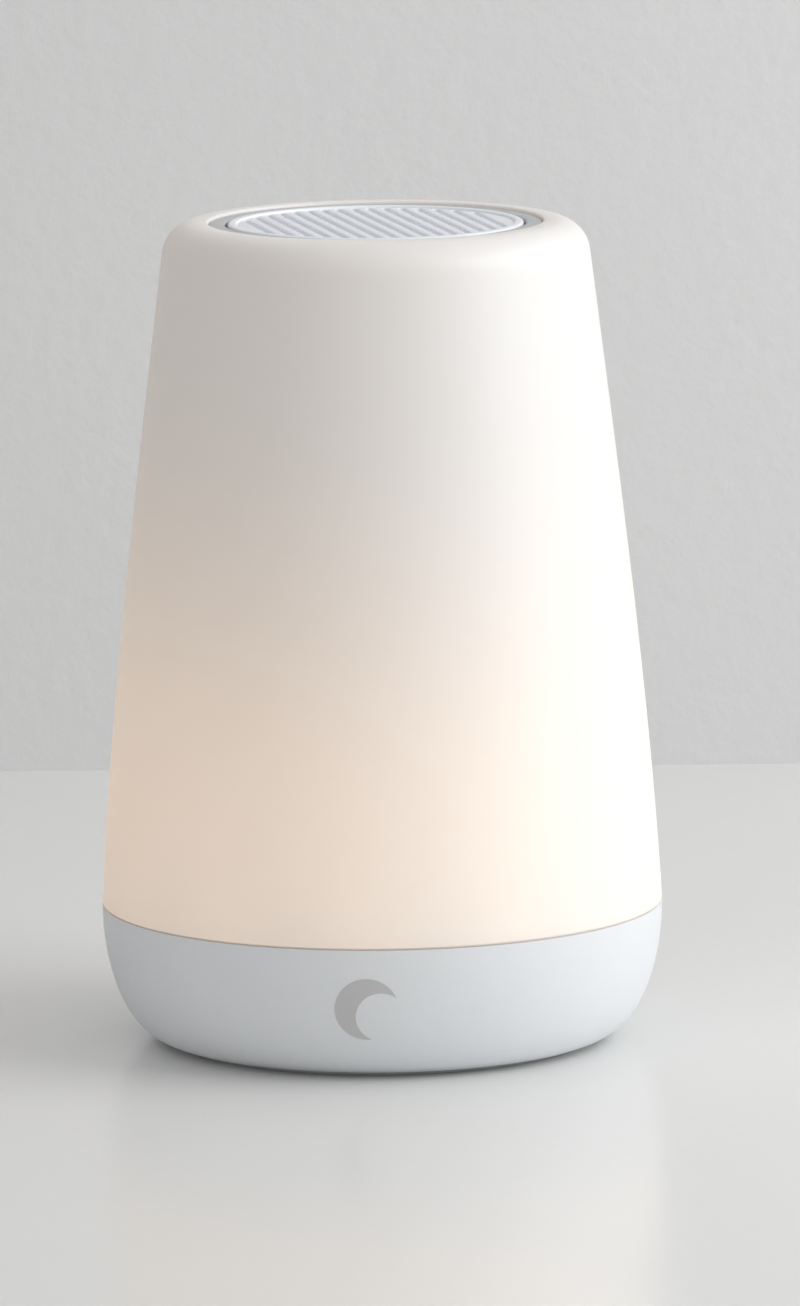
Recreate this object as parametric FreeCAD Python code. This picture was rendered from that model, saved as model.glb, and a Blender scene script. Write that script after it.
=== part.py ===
import FreeCAD, Part

import math
import os

# A bedside sound machine and night light: a round base that holds the electronics, a frosted shade
# over a ring of lamps, and a loudspeaker that fires up through a slotted grille in the shade's top.
# Millimetres. The origin is the centre of the footprint, +Z is up and -Y is the front.

V = FreeCAD.Vector
UP = V(0, 0, 1)
BACK = V(0, 1, 0)
ORIGIN = V(0, 0, 0)

# ---- Overall form ----
overall_height = 158.0
overall_diameter = 107.8
seam_height = 26.4          # top of the base, where the shade begins
underside_radius = 41.6     # flat underside, before the base's round begins
shade_lean_foot = 0.057     # how far the shade leans in per millimetre of height, at its foot
shade_lean_top = 0.122      # and where its top round begins
top_round = 6.6             # radius of the round between the shade's side and its top
lip_radius = 32.0           # well in the shade's top, for the touch ring and the grille
lip_land = 2.3              # flat land outside the well

# ---- Walls and general clearances ----
base_wall = 2.4
shade_wall = 2.6
slip = 0.3                  # between pieces that pass each other
past = 1.0                  # how far a cutter reaches past what it cuts
tiny = 1e-6                 # for finding an edge by its place
touch = 0.02                # radial play of a screw in its pilot hole
sheet_gap = 0.35            # height of the seam, filled by the light seal

# ---- Foot ring and underside ----
foot_stand = 0.8            # how far the foot ring holds the base off the table
foot_sink = 0.6             # how deep it sits in its groove
foot_inner_radius = 32.4
foot_margin = 0.6           # from the foot ring to the edge of the underside
foot_round = 0.32

# ---- Joint between base and shade ----
rim_wall = 1.3              # base rim outside the shade's tongue
tongue_gap = 0.15
tongue_depth = 4.0
seal_inset = 0.6            # seal kept back from the outer surface

# ---- Main board and its parts ----
board_standoff = 3.2
board_thickness = 1.6
board_margin = 2.0          # board edge to the base's inner wall
board_screw_circle = 28.0
board_post_radius = 3.0

# ---- Power inlet ----
jack_axis_height = 5.6      # above the board
jack_width = 9.0
jack_length = 13.5
jack_height = 9.8
jack_bore_radius = 2.85
jack_bore_depth = 9.5
jack_pin_radius = 1.0
jack_root_radius = 1.3       # pin's thicker root, held in the moulding
jack_pin_recess = 1.0
jack_pin_round = 0.5
jack_nose_wall = 1.0
jack_collar = 2.5            # full-height collar at the inlet's mouth
jack_roof = 0.4             # step behind the collar, above the bore
spring_inset = 2.3          # leaf spring from the mouth
spring_end_margin = 1.3     # and from the end of the bore
spring_width = 1.8
spring_thickness = 0.3
spring_play = 0.3
spring_gap = 0.1            # below the bore
port_radius = 5.2           # lets the moulded nose of the plug through
port_depth = 7.0
port_recess_radius = 6.6
port_collar_wall = 1.7

# ---- Rear keys ----
key_angles = {"light_down": 27.0, "light_up": 16.0, "sound_down": -16.0, "sound_up": -27.0}
key_radius = 3.2
key_proud = 0.5
key_flange = 1.2            # how far the flange stands out beyond the cap
key_flange_thickness = 1.2
key_travel = 0.7
stem_radius = 1.6
stem_gap = 0.15
switch_size = 6.0
switch_depth = 3.4
switch_clear = 0.2          # left between flange and switch at full travel
key_board_thickness = 1.2
key_board_margin = 4.6
key_board_clear = 4.2       # below the light tray

# ---- Light tray and lamps ----
tray_drop = 3.0             # tray underside below the seam
tray_thickness = 1.6
tray_play = 0.5             # tray rim to the shade's inside
tray_rim_width = 3.5
tray_rim_rise = 6.0
tray_boss_length = 5.0
tray_hub_radius = 17.5
tray_hub_depth = 2.0
hub_hole_radius = 9.5
led_board_inner_radius = 23.0
led_board_thickness = 1.6
tray_rim_skin = 1.2
led_board_lift = 1.6
led_count = 12
led_size = 5.0
led_height = 1.6
led_lens_radius = 1.9
led_lens_depth = 0.4
led_dome = 0.855            # how far a lens stands above its lamp
led_shift = 2.0             # lamps outside the middle of their board
led_socket = (5.0, 6.0, 3.4)
led_socket_inset = 4.0      # from the lamp board's inner edge
led_screw_circle = 26.5
led_screw_angles = (75.0, 195.0, 315.0)

# ---- Tall posts under the tray ----
post_angles = (20.0, 160.0, 270.0)
post_radius = 3.6
post_seat_depth = 6.0       # material between a screw's head and the top of the post
post_hole_play = 0.2
base_screw = {"shank": 1.4, "head": 2.4, "head_height": 1.8}
head_play = 0.3
tip_gap = 0.5               # tip of a long screw below the tray's skin

# ---- Column ----
column_radius = 12.0
column_wall = 1.8
column_flange_radius = 17.0
column_flange_thickness = 2.4
column_screw_circle = 14.4
column_screw_angles = (90.0, 210.0, 330.0)

# ---- Top stack, measured down from the shade's lip ----
ring_sink = 0.5             # touch ring below the lip
ring_thickness = 1.2
ring_width = 2.9
ring_play = 0.3
shelf_thickness = 1.5
shelf_width = 3.2
shelf_lap = 1.6             # how far the pod's flange reaches under the shelf
ring_round = 0.36
contact_radius = 0.6
contact_inset = 1.5         # from the touch ring's inner edge
contact_tail = 2.0          # below the pod's flange
grille_gap = 0.6            # open line between grille and touch ring
grille_sink = 0.3
grille_rim_width = 1.7
grille_rim_step = 0.4
grille_thickness = 1.2
grille_spigot_depth = 1.2
grille_spigot_wall = 0.8
grille_fit = 0.05           # spigot in the pod
slot_pitch = 3.0
slot_width = 1.3
slot_angle = 16.4           # from the front-to-back line
slot_margin = 0.2           # slot ends to the inside of the spigot
scrim_thickness = 0.4

# ---- Loudspeaker pod and driver, measured down from the pod's ledge ----
ledge_drop = 8.0            # ledge below the shade's lip
pod_wall = 2.0
pod_depth = 28.0
pod_floor = 2.0
pod_flange_thickness = 1.8
ledge_thickness = 2.0
ledge_step = 1.0            # ledge's bore outside the surround
driver_radius = 26.8
driver_play = 0.3
flange_width = 4.0
flange_thickness = 1.0
gasket_thickness = 0.6
driver_screw_inset = 1.7
basket_skin = 0.8
basket_depth = 11.0
basket_foot_radius = 16.6
window_width = 9.0
window_share = 0.6          # of the basket's slope
strip_thickness = 1.2
strip_width = 9.0
strip_height = 2.2
lug_width = 1.6
lug_thickness = 0.5
lug_rise = 0.8              # above the basket's foot
lug_reach = 3.6             # leads outside the basket's foot
lug_margin = 1.2            # lug beyond its lead
surround_land = 1.0
surround_skin = 0.4
surround_roll = 1.7
surround_margin = 0.4       # roll inside the flange
cone_skin = 0.5
cone_depth = 7.0
coil_radius = 7.0           # outside of the former
coil_skin = 0.2
winding_thickness = 0.35
winding_length = 4.8
coil_gap = 0.45
former_length = 9.3
dust_cap_rise = 2.6
dust_cap_lap = 1.2          # glued to the cone outside the coil
spider_skin = 0.4
spider_wave = 0.6
spider_waves = 5
spider_drop = 8.6
spider_land = 1.6
top_plate_thickness = 2.4
magnet_radius = 16.0
magnet_hole_radius = 9.5
magnet_height = 7.0
magnet_chamfer = 0.5
plate_radius = 15.0
yoke_thickness = 3.0
cone_travel = 1.5

# ---- Screws and leads ----
small_screw = {"shank": 1.1, "head": 2.0, "head_height": 1.5}
driver_screw = {"shank": 0.9, "head": 1.4, "head_height": 1.1}
screw_reach = 3.2           # thread below whatever a small screw holds down
screw_gap = 0.2             # left below a screw's tip
head_round_share = 0.4      # of the head's height
recess_share = 0.5          # of the head's height
recess_width_share = 0.28   # of the head's radius
recess_length_share = 1.2   # of the head's radius
lead_radius = 0.6
lamp_lead_radius = 0.9
lead_bend_share = 0.45      # of the shorter run beside a bend
lead_spacing = 1.5          # each speaker lead from the centre plane
lead_floor_rise = 1.4       # speaker leads above the pod's floor
lead_column_x = 5.0         # and beside the column's axis
lead_bend_drop = 2.4        # their bend below the tray's hub
lead_socket_rise = 3.2      # and above their socket
lead_pod_drop = 4.0         # touch lead's upper bend below the pod
lead_slope_drop = 16.0      # and its lower bend
connector_height = 4.0
speaker_socket = (4.5, 8.0)
speaker_socket_gap = 2.0    # outside the tray's hole
lamp_socket = (6.0, 5.0)
touch_socket = (4.5, 4.5)
lead_hole_radius = 2.0
lead_hole_circle = 19.5
touch_angle = 330.0
lamp_lead_angle = 225.0

# Pieces on the main board: sizes, and places from the board's centre
module_size = (18.0, 13.0, 0.8)
module_place = (2.0, -23.0)
can_size = (12.5, 11.4, 2.0)
can_shift = -2.3            # from the middle of the radio board
can_round = 0.4
chip_size = (7.0, 7.0, 1.1)
chip_place = (-23.0, 2.0)
chip_lift = 0.1
chip_pad = 6.0
chip_leg = (1.4, 0.4, 0.3)
chip_leg_reach = 4.0
chip_leg_pitch = 1.1
chip_leg_count = 6
capacitor_radius = 3.5
capacitor_height = 7.0
capacitor_foot = (7.4, 7.4, 0.8)
capacitor_round = 0.5
capacitor_places = ((-10.0, 18.0), (0.0, 18.0), (10.0, 18.0))
inductor_size = (8.0, 8.0, 4.0)
inductor_place = (24.0, 5.0)
inductor_chamfer = 0.8

# ---- Derived places ----
outer_radius = overall_diameter / 2
floor_top = foot_stand + base_wall
board_bottom = floor_top + board_standoff
board_top = board_bottom + board_thickness
connector_top = board_top + connector_height
inlet_height = board_top + jack_axis_height
tray_bottom = seam_height - tray_drop
tray_top = tray_bottom + tray_thickness
post_circle = (foot_inner_radius + underside_radius - foot_margin) / 2
shade_foot = seam_height + sheet_gap
lip_height = overall_height
ring_top = lip_height - ring_sink
shelf_top = ring_top - ring_thickness
pod_top = shelf_top - shelf_thickness
ledge_height = lip_height - ledge_drop
pod_bore = driver_radius + driver_play
pod_floor_top = ledge_height - pod_depth
pod_bottom = pod_floor_top - pod_floor
ring_outer = lip_radius - ring_play
ring_inner = ring_outer - ring_width
grille_radius = ring_inner - grille_gap
grille_top = lip_height - grille_sink
field_top = grille_top - grille_rim_step
field_bottom = field_top - grille_thickness
led_board_bottom = tray_top + led_board_lift
led_board_top = led_board_bottom + led_board_thickness
flange_top = ledge_height + gasket_thickness + flange_thickness
magnet_top = ledge_height - basket_depth - top_plate_thickness
yoke_top = magnet_top - magnet_height
spigot_radius = pod_bore - grille_fit
ledge_bore = driver_radius - flange_width + ledge_step
spring_run = jack_bore_depth - spring_inset - spring_end_margin


def base_section_radius(height, inset=0.0):
    """Radius of the base's outside, or of a surface that far inside it, at a height."""
    drop = (seam_height - height) / (seam_height - foot_stand - inset)
    return underside_radius + (outer_radius - underside_radius - inset) * math.sqrt(1 - drop * drop)


def polar(radius, degrees, height=0.0):
    """Point at a radius and an angle from +X."""
    angle = math.radians(degrees)
    return V(radius * math.cos(angle), radius * math.sin(angle), height)


def line(start, end):
    """Edge from one (radius, height) point to another."""
    return Part.LineSegment(V(start[0], 0, start[1]), V(end[0], 0, end[1])).toShape()


def chain(points):
    """Straight edges through (radius, height) points."""
    return [line(a, b) for a, b in zip(points, points[1:])]


def arc(centre, radius, first, last):
    """Circular edge about a (radius, height) centre, between two angles in degrees."""
    def at(degrees):
        angle = math.radians(degrees)
        return V(centre[0] + radius * math.cos(angle), 0, centre[1] + radius * math.sin(angle))
    return Part.Arc(at(first), at((first + last) / 2), at(last)).toShape()


def turned(edges):
    """Solid made by turning a closed outline about the Z axis."""
    outline = Part.Wire(Part.sortEdges(edges)[0])
    return Part.Face(outline).revolve(ORIGIN, UP, 360)


def turned_polygon(points):
    """Solid made by turning a closed polygon of (radius, height) points."""
    return turned(chain(list(points) + [points[0]]))


def disc(radius, bottom, top, at=ORIGIN):
    """Upright cylinder."""
    return Part.makeCylinder(radius, top - bottom, V(at.x, at.y, bottom), UP)


def ring(inner, outer, bottom, top):
    """Flat ring about the Z axis."""
    return disc(outer, bottom, top).cut(disc(inner, bottom, top))


def rod(radius, x, height, front, back):
    """Cylinder that lies front to back."""
    return Part.makeCylinder(radius, back - front, V(x, front, height), BACK)


def block(size, centre_x, centre_y, bottom):
    """Upright box with its base centred on a point."""
    corner = V(centre_x - size[0] / 2, centre_y - size[1] / 2, bottom)
    return Part.makeBox(size[0], size[1], size[2], corner)


def joined(shapes):
    """One solid from overlapping or touching ones."""
    first, *rest = shapes
    return first.fuse(rest).removeSplitter() if rest else first


def drilled(body, holes):
    """Body less every hole."""
    return body.cut(holes) if holes else body


def circles_at(body, height):
    """Level circular edges of a body at a height."""
    return [e for e in body.Edges if e.Closed and abs(e.CenterOfMass.z - height) < tiny]


def screw(kind, seat, tip, at, down=True):
    """Cross-recessed pan-head screw that stands on its seat and reaches its tip."""
    step = kind["head_height"] if down else -kind["head_height"]
    low, high = sorted((seat, seat + step))
    head = disc(kind["head"], low, high, at)
    head = head.makeFillet(kind["head_height"] * head_round_share, circles_at(head, seat + step))
    shank = disc(kind["shank"], min(seat, tip), max(seat, tip), at)
    recess = kind["head_height"] * recess_share
    width = kind["head"] * recess_width_share
    length = kind["head"] * recess_length_share
    bottom = seat + step - recess if down else seat + step
    cross = [block((length, width, recess), at.x, at.y, bottom),
             block((width, length, recess), at.x, at.y, bottom)]
    return joined([head, shank]).cut(cross)


def bent_lead(points, radius):
    """Round lead along straight runs joined by tangent arcs, as large as the runs allow."""
    points = [V(*p) for p in points]
    edges = []
    start = points[0]
    for before, corner, after in zip(points, points[1:], points[2:]):
        into = (corner - before).normalize()
        out = (after - corner).normalize()
        reach = lead_bend_share * min(before.distanceToPoint(corner), corner.distanceToPoint(after))
        turn = into.getAngle(out)
        bend = reach / math.tan(turn / 2)
        first = corner - into * reach
        last = corner + out * reach
        middle = corner + (out - into).normalize() * (bend / math.cos(turn / 2) - bend)
        edges += [Part.LineSegment(start, first).toShape(), Part.Arc(first, middle, last).toShape()]
        start = last
    edges.append(Part.LineSegment(start, points[-1]).toShape())
    path = Part.Wire(edges)
    section = Part.Wire(Part.Circle(points[0], points[1] - points[0], radius).toShape())
    return path.makePipeShell([section], True, False)


# ---- Base ----

def base_form(inset=0.0):
    """Solid bounded by the base's outside, or by a surface that far inside it."""
    width = outer_radius - underside_radius - inset
    height = seam_height - foot_stand - inset
    centre = V(underside_radius, 0, seam_height)
    side = centre + V(width, 0, 0)
    foot = centre - V(0, 0, height)
    ends = (foot, side) if height >= width else (side, foot)
    curve = Part.Ellipse(ends[0], ends[1], centre).toShape(0, math.pi / 2)
    low = foot_stand + inset
    straight = chain([(side.x, seam_height), (0, seam_height), (0, low), (underside_radius, low)])
    return turned([curve, *straight])


def key_x(name):
    """Sideways place of a rear key."""
    return base_section_radius(inlet_height) * math.sin(math.radians(key_angles[name]))


def key_flange_front():
    """Front-to-back place of the keys' flanges, just clear of the base's inner wall."""
    furthest = max(abs(key_x(name)) for name in key_angles) + key_radius + key_flange
    wall = base_section_radius(inlet_height - key_radius - key_flange, base_wall)
    return math.sqrt(wall * wall - furthest * furthest) - slip


def port_face():
    """Front-to-back place of the flat floor of the power port's recess."""
    wall = base_section_radius(inlet_height - port_recess_radius)
    return math.sqrt(wall * wall - port_recess_radius * port_recess_radius) - slip


def post_top():
    """Top of the tall posts, where the tray's bosses stand."""
    return tray_bottom - tray_boss_length


def base_shell():
    """Cup with a rim for the shade, posts for board and tray, the power port and the key holes."""
    shell = base_form().cut(base_form(base_wall))
    collar_radius = port_recess_radius + port_collar_wall
    collar = rod(collar_radius, 0, inlet_height, port_face() - port_depth, outer_radius)
    added = [collar.common(base_form())]
    holes = [
        disc(outer_radius - rim_wall, seam_height - tongue_depth - slip, seam_height),
        rod(port_recess_radius, 0, inlet_height, port_face(), outer_radius + past),
        rod(port_radius, 0, inlet_height, 0, port_face()),
        ring(foot_inner_radius, underside_radius - foot_margin, foot_stand, foot_stand + foot_sink),
    ]
    seat = post_top() - post_seat_depth
    for angle in post_angles:
        at = polar(post_circle, angle)
        added.append(disc(post_radius, foot_stand, post_top(), at))
        holes.append(disc(base_screw["head"] + head_play, 0, seat, at))
        holes.append(disc(base_screw["shank"] + post_hole_play, seat, post_top(), at))
    for angle in board_screw_angles():
        at = polar(board_screw_circle, angle)
        added.append(disc(board_post_radius, foot_stand, board_bottom, at))
        holes.append(disc(small_screw["shank"] + touch, board_bottom - screw_reach, board_bottom, at))
    for name in key_angles:
        holes.append(rod(key_radius + slip, key_x(name), inlet_height, 0, outer_radius + past))
    return drilled(joined([shell, *added]), holes)


def board_screw_angles():
    """Angles of the four screws that hold the main board."""
    return [45.0 + 90.0 * n for n in range(4)]


def foot_ring():
    """Silicone ring in the groove of the underside; it hides the screws."""
    foot = ring(foot_inner_radius + touch, underside_radius - foot_margin - touch, 0, foot_stand + foot_sink)
    return foot.makeFillet(foot_round, circles_at(foot, 0))


def base_screws():
    """Long screws up through the posts into the tray."""
    seat = post_top() - post_seat_depth
    tip = tray_bottom - tip_gap
    return [screw(base_screw, seat, tip, polar(post_circle, a), down=False) for a in post_angles]


# ---- Power inlet ----

def jack_mouth():
    """Front-to-back place of the inlet's mouth."""
    return port_face() - port_depth - slip


def dc_jack():
    """Moulded housing of the power inlet, with the plug's bore and a slot for the sleeve spring."""
    mouth = jack_mouth()
    body = block((jack_width, jack_length, jack_height), 0, mouth - jack_length / 2, board_top)
    nose = rod(jack_bore_radius + jack_nose_wall, 0, inlet_height, mouth - jack_bore_depth, mouth)
    relief = jack_bore_depth - jack_collar
    body = body.cut(block((jack_width, relief, jack_height), 0, mouth - jack_collar - relief / 2,
                          inlet_height + jack_bore_radius + jack_roof))
    bore = rod(jack_bore_radius, 0, inlet_height, mouth - jack_bore_depth, mouth)
    back = mouth - jack_length
    pin_hole = rod(jack_root_radius + touch, 0, inlet_height, back, mouth - jack_bore_depth)
    slot_size = (spring_width + 2 * spring_play, spring_run + 2 * spring_play, inlet_height - board_top)
    spring_slot = block(slot_size, 0, mouth - spring_inset - spring_run / 2, board_top)
    return joined([body, nose]).cut([bore, pin_hole, spring_slot])


def dc_jack_pin():
    """Centre pin of the inlet, with a rounded tip."""
    mouth = jack_mouth()
    pin = rod(jack_pin_radius, 0, inlet_height, mouth - jack_bore_depth, mouth - jack_pin_recess)
    tip = [e for e in pin.Edges if e.Closed and abs(e.CenterOfMass.y - (mouth - jack_pin_recess)) < tiny]
    root = rod(jack_root_radius, 0, inlet_height, mouth - jack_length, mouth - jack_bore_depth)
    return joined([pin.makeFillet(jack_pin_round, tip), root])


def dc_jack_spring():
    """Leaf that presses on the plug's sleeve from below."""
    mouth = jack_mouth()
    leaf_top = inlet_height - jack_bore_radius - spring_gap
    leaf = block((spring_width, spring_run, spring_thickness), 0, mouth - spring_inset - spring_run / 2,
                 leaf_top - spring_thickness)
    tail = block((spring_width, spring_thickness, leaf_top - board_top), 0,
                 mouth - spring_inset - spring_run + spring_thickness / 2, board_top)
    return joined([leaf, tail])


# ---- Rear keys ----

def key(name):
    """Round key that follows the base's surface, with a flange behind the wall."""
    front = key_flange_front()
    x = key_x(name)
    shaft = rod(key_radius, x, inlet_height, front - key_flange_thickness, outer_radius + key_proud)
    grown = base_form(-key_proud)
    cap = shaft.common(grown)
    flange = rod(key_radius + key_flange, x, inlet_height, front - key_flange_thickness, front)
    return joined([cap, flange])


def switch_face():
    """Front-to-back place of the switches' front, which the flange nearly meets at full travel."""
    return key_flange_front() - key_flange_thickness - key_travel - switch_clear


def key_stem(name):
    """Plunger of a switch, which rests against its key."""
    tip = key_flange_front() - key_flange_thickness
    root = switch_face() - switch_depth + key_travel + 2 * switch_clear
    return rod(stem_radius, key_x(name), inlet_height, root, tip)


def tact_switches():
    """Switch housings, open in front for their plungers."""
    made = []
    face = switch_face()
    for name in key_angles:
        x = key_x(name)
        size = (switch_size, switch_depth, switch_size)
        body = block(size, x, face - switch_depth / 2, inlet_height - switch_size / 2)
        well = rod(stem_radius + stem_gap, x, inlet_height, face - switch_depth + switch_clear, face)
        made.append(body.cut(well))
    return made


def key_board(names):
    """Upright board that carries two switches and stands on the main board."""
    places = sorted(key_x(name) for name in names)
    left = places[0] - key_board_margin
    width = places[-1] - places[0] + 2 * key_board_margin
    back = switch_face() - switch_depth
    height = tray_bottom - key_board_clear - board_top
    return Part.makeBox(width, key_board_thickness, height, V(left, back - key_board_thickness, board_top))


# ---- Main board ----

def main_board():
    """Round board, flat at the back, cleared for the tall posts."""
    radius = base_section_radius(board_bottom, base_wall) - board_margin
    board = disc(radius, board_bottom, board_top)
    flat = jack_mouth() - slip
    board = board.cut(Part.makeBox(2 * radius, radius, board_thickness, V(-radius, flat, board_bottom)))
    holes = [disc(post_radius + slip, board_bottom, board_top, polar(post_circle, a)) for a in post_angles]
    for angle in board_screw_angles():
        holes.append(disc(small_screw["shank"] + post_hole_play, board_bottom, board_top,
                          polar(board_screw_circle, angle)))
    return drilled(board, holes)


def board_screws():
    """Four screws that hold the main board on its posts."""
    tip = board_bottom - screw_reach + screw_gap
    return [screw(small_screw, board_top, tip, polar(board_screw_circle, a)) for a in board_screw_angles()]


def wireless_module():
    """Radio board with its shield can and bare aerial end."""
    base = block(module_size, *module_place, board_top)
    can_bottom = board_top + module_size[2]
    can = block(can_size, module_place[0] + can_shift, module_place[1], can_bottom)
    top = [e for e in can.Edges if abs(e.CenterOfMass.z - can_bottom - can_size[2]) < tiny]
    return joined([base, can.makeFillet(can_round, top)])


def amplifier_chip():
    """Flat power amplifier package with its leads."""
    x, y = chip_place
    body = block(chip_size, x, y, board_top + chip_lift)
    pad = block((chip_pad, chip_pad, chip_lift), x, y, board_top)
    legs = []
    for side in (-1, 1):
        for n in range(chip_leg_count):
            along = (n - (chip_leg_count - 1) / 2) * chip_leg_pitch
            legs.append(block(chip_leg, x + side * chip_leg_reach, y + along, board_top))
    return joined([body, pad, *legs])


def capacitors():
    """Three can capacitors on their moulded feet."""
    made = []
    top = board_top + capacitor_height
    for x, y in capacitor_places:
        foot = block(capacitor_foot, x, y, board_top)
        can = disc(capacitor_radius, board_top + capacitor_foot[2], top, V(x, y, 0))
        made.append(joined([foot, can.makeFillet(capacitor_round, circles_at(can, top))]))
    return made


def power_inductor():
    """Moulded inductor of the power supply."""
    body = block(inductor_size, *inductor_place, board_top)
    upright = [e for e in body.Edges if abs(e.Length - inductor_size[2]) < tiny]
    return body.makeChamfer(inductor_chamfer, upright)


def board_connectors():
    """Sockets for the speaker, lamp and touch leads."""
    lamp = polar(lead_hole_circle, lamp_lead_angle)
    touch_point = polar(lead_hole_circle, touch_angle)
    return [
        block((*speaker_socket, connector_height), speaker_socket_x(), 0, board_top),
        block((*lamp_socket, connector_height), lamp.x, lamp.y, board_top),
        block((*touch_socket, connector_height), touch_point.x, touch_point.y, board_top),
    ]


def speaker_socket_x():
    """Sideways place of the speaker leads' socket."""
    return -(hub_hole_radius + speaker_socket_gap)


# ---- Light tray, lamps and seal ----

def tray_radius():
    """Tray edge, clear of the shade's tongue."""
    return outer_radius - shade_wall - tray_play


def light_tray():
    """White dish that closes the base and throws the lamps' light up into the shade."""
    edge = tray_radius()
    foot = edge - tray_rim_width
    rim = tray_top + tray_rim_rise
    skin = tray_rim_skin
    plate = turned_polygon([
        (hub_hole_radius, tray_bottom - tray_hub_depth), (tray_hub_radius, tray_bottom - tray_hub_depth),
        (tray_hub_radius, tray_bottom), (foot, tray_bottom), (edge, rim), (edge - skin, rim),
        (foot - skin, tray_top), (hub_hole_radius, tray_top),
    ])
    added = []
    holes = []
    for angle in post_angles:
        at = polar(post_circle, angle)
        added.append(disc(post_radius, post_top(), tray_bottom, at))
        holes.append(disc(base_screw["shank"] + touch, post_top(), tray_bottom, at))
    for angle in led_screw_angles:
        at = polar(led_screw_circle, angle)
        added.append(disc(board_post_radius, tray_bottom - tray_hub_depth, led_board_bottom, at))
        holes.append(disc(small_screw["shank"] + touch, led_board_bottom - screw_reach, led_board_bottom,
                          at))
    for angle in column_screw_angles:
        holes.append(disc(small_screw["shank"] + touch, tray_top - screw_reach, tray_top,
                          polar(column_screw_circle, angle)))
    for angle in (touch_angle, lamp_lead_angle):
        at = polar(lead_hole_circle, angle)
        holes.append(disc(lead_hole_radius, tray_bottom - tray_hub_depth, tray_top, at))
    return drilled(joined([plate, *added]), holes)


def light_seal():
    """Thin silicone gasket that fills the seam between base and shade."""
    return ring(outer_radius - rim_wall, outer_radius - seal_inset, seam_height, shade_foot)


def led_circle():
    """Radius on which the lamps stand."""
    return (led_board_inner_radius + led_board_outer()) / 2 + led_shift


def led_board_outer():
    """Outer radius of the lamp board, clear of the tray's sloping rim."""
    return tray_radius() - tray_rim_width - tray_thickness - slip


def led_board():
    """Ring-shaped lamp board."""
    board = ring(led_board_inner_radius, led_board_outer(), led_board_bottom, led_board_top)
    holes = [disc(small_screw["shank"] + post_hole_play, led_board_bottom, led_board_top,
                  polar(led_screw_circle, a)) for a in led_screw_angles]
    return drilled(board, holes)


def led_places():
    """Angle of each lamp."""
    return [360.0 * n / led_count for n in range(led_count)]


def led_chips():
    """Square lamp packages, each with a round well."""
    made = []
    for angle in led_places():
        chip = block((led_size, led_size, led_height), led_circle(), 0, led_board_top)
        top = led_board_top + led_height
        chip = chip.cut(disc(led_lens_radius, top - led_lens_depth, top, V(led_circle(), 0, 0)))
        chip.rotate(ORIGIN, UP, angle)
        made.append(chip)
    return made


def led_lenses():
    """Clear domes that fill the lamps' wells."""
    made = []
    top = led_board_top + led_height
    sphere = (led_lens_radius ** 2 + led_dome ** 2) / (2 * led_dome)
    for angle in led_places():
        at = polar(led_circle(), angle)
        plug = disc(led_lens_radius, top - led_lens_depth, top + led_dome, at)
        ball = Part.makeSphere(sphere, V(at.x, at.y, top + led_dome - sphere))
        made.append(plug.common(ball))
    return made


def led_board_screws():
    """Three screws that hold the lamp board on the tray."""
    tip = led_board_bottom - screw_reach + screw_gap
    return [screw(small_screw, led_board_top, tip, polar(led_screw_circle, a)) for a in led_screw_angles]


def led_connector_circle():
    """Radius on which the lamp board's socket stands."""
    return led_board_inner_radius + led_socket_inset


def led_connector():
    """Socket on the lamp board."""
    socket = block(led_socket, led_connector_circle(), 0, led_board_top)
    socket.rotate(ORIGIN, UP, lamp_lead_angle)
    return socket


# ---- Column ----

def column():
    """Tube that stands on the tray and carries the speaker pod; a flange at each end."""
    bore = column_radius - column_wall
    body = joined([
        disc(column_radius, tray_top, pod_bottom),
        disc(column_flange_radius, tray_top, tray_top + column_flange_thickness),
        disc(column_flange_radius, pod_bottom - column_flange_thickness, pod_bottom),
    ])
    holes = [disc(bore, tray_top, pod_bottom)]
    for angle in column_screw_angles:
        at = polar(column_screw_circle, angle)
        lower_top = tray_top + column_flange_thickness
        upper_bottom = pod_bottom - column_flange_thickness
        holes.append(disc(small_screw["shank"] + post_hole_play, tray_top, lower_top, at))
        holes.append(disc(small_screw["shank"] + touch, upper_bottom, pod_bottom, at))
    return drilled(body, holes)


def column_screws():
    """Three screws down through the lower flange into the tray's hub."""
    seat = tray_top + column_flange_thickness
    tip = tray_top - screw_reach + screw_gap
    return [screw(small_screw, seat, tip, polar(column_screw_circle, a)) for a in column_screw_angles]


def pod_screws():
    """Three screws down through the pod's floor into the column's upper flange."""
    tip = pod_bottom - column_flange_thickness + screw_gap
    places = [polar(column_screw_circle, a) for a in column_screw_angles]
    return [screw(small_screw, pod_floor_top, tip, at) for at in places]


# ---- Shade and what sits in its top ----

def shade_curve(inset):
    """Side of the shade, or of a surface that far inside it, with its top round: edges and end points."""
    lean = math.atan(shade_lean_top)
    centre = (lip_radius + lip_land, lip_height - top_round)
    radius = top_round - inset
    shoulder = (centre[0] + radius * math.cos(lean), centre[1] + radius * math.sin(lean))
    foot = (outer_radius - inset, shade_foot)
    third = (shoulder[1] - foot[1]) / 3
    side = Part.BezierCurve()
    side.setPoles([
        V(foot[0], 0, foot[1]),
        V(foot[0] - shade_lean_foot * third, 0, foot[1] + third),
        V(shoulder[0] + shade_lean_top * third, 0, shoulder[1] - third),
        V(shoulder[0], 0, shoulder[1]),
    ])
    crown = arc(centre, radius, math.degrees(lean), 90.0)
    return [side.toShape(), crown], foot, (centre[0], centre[1] + radius)


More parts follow.
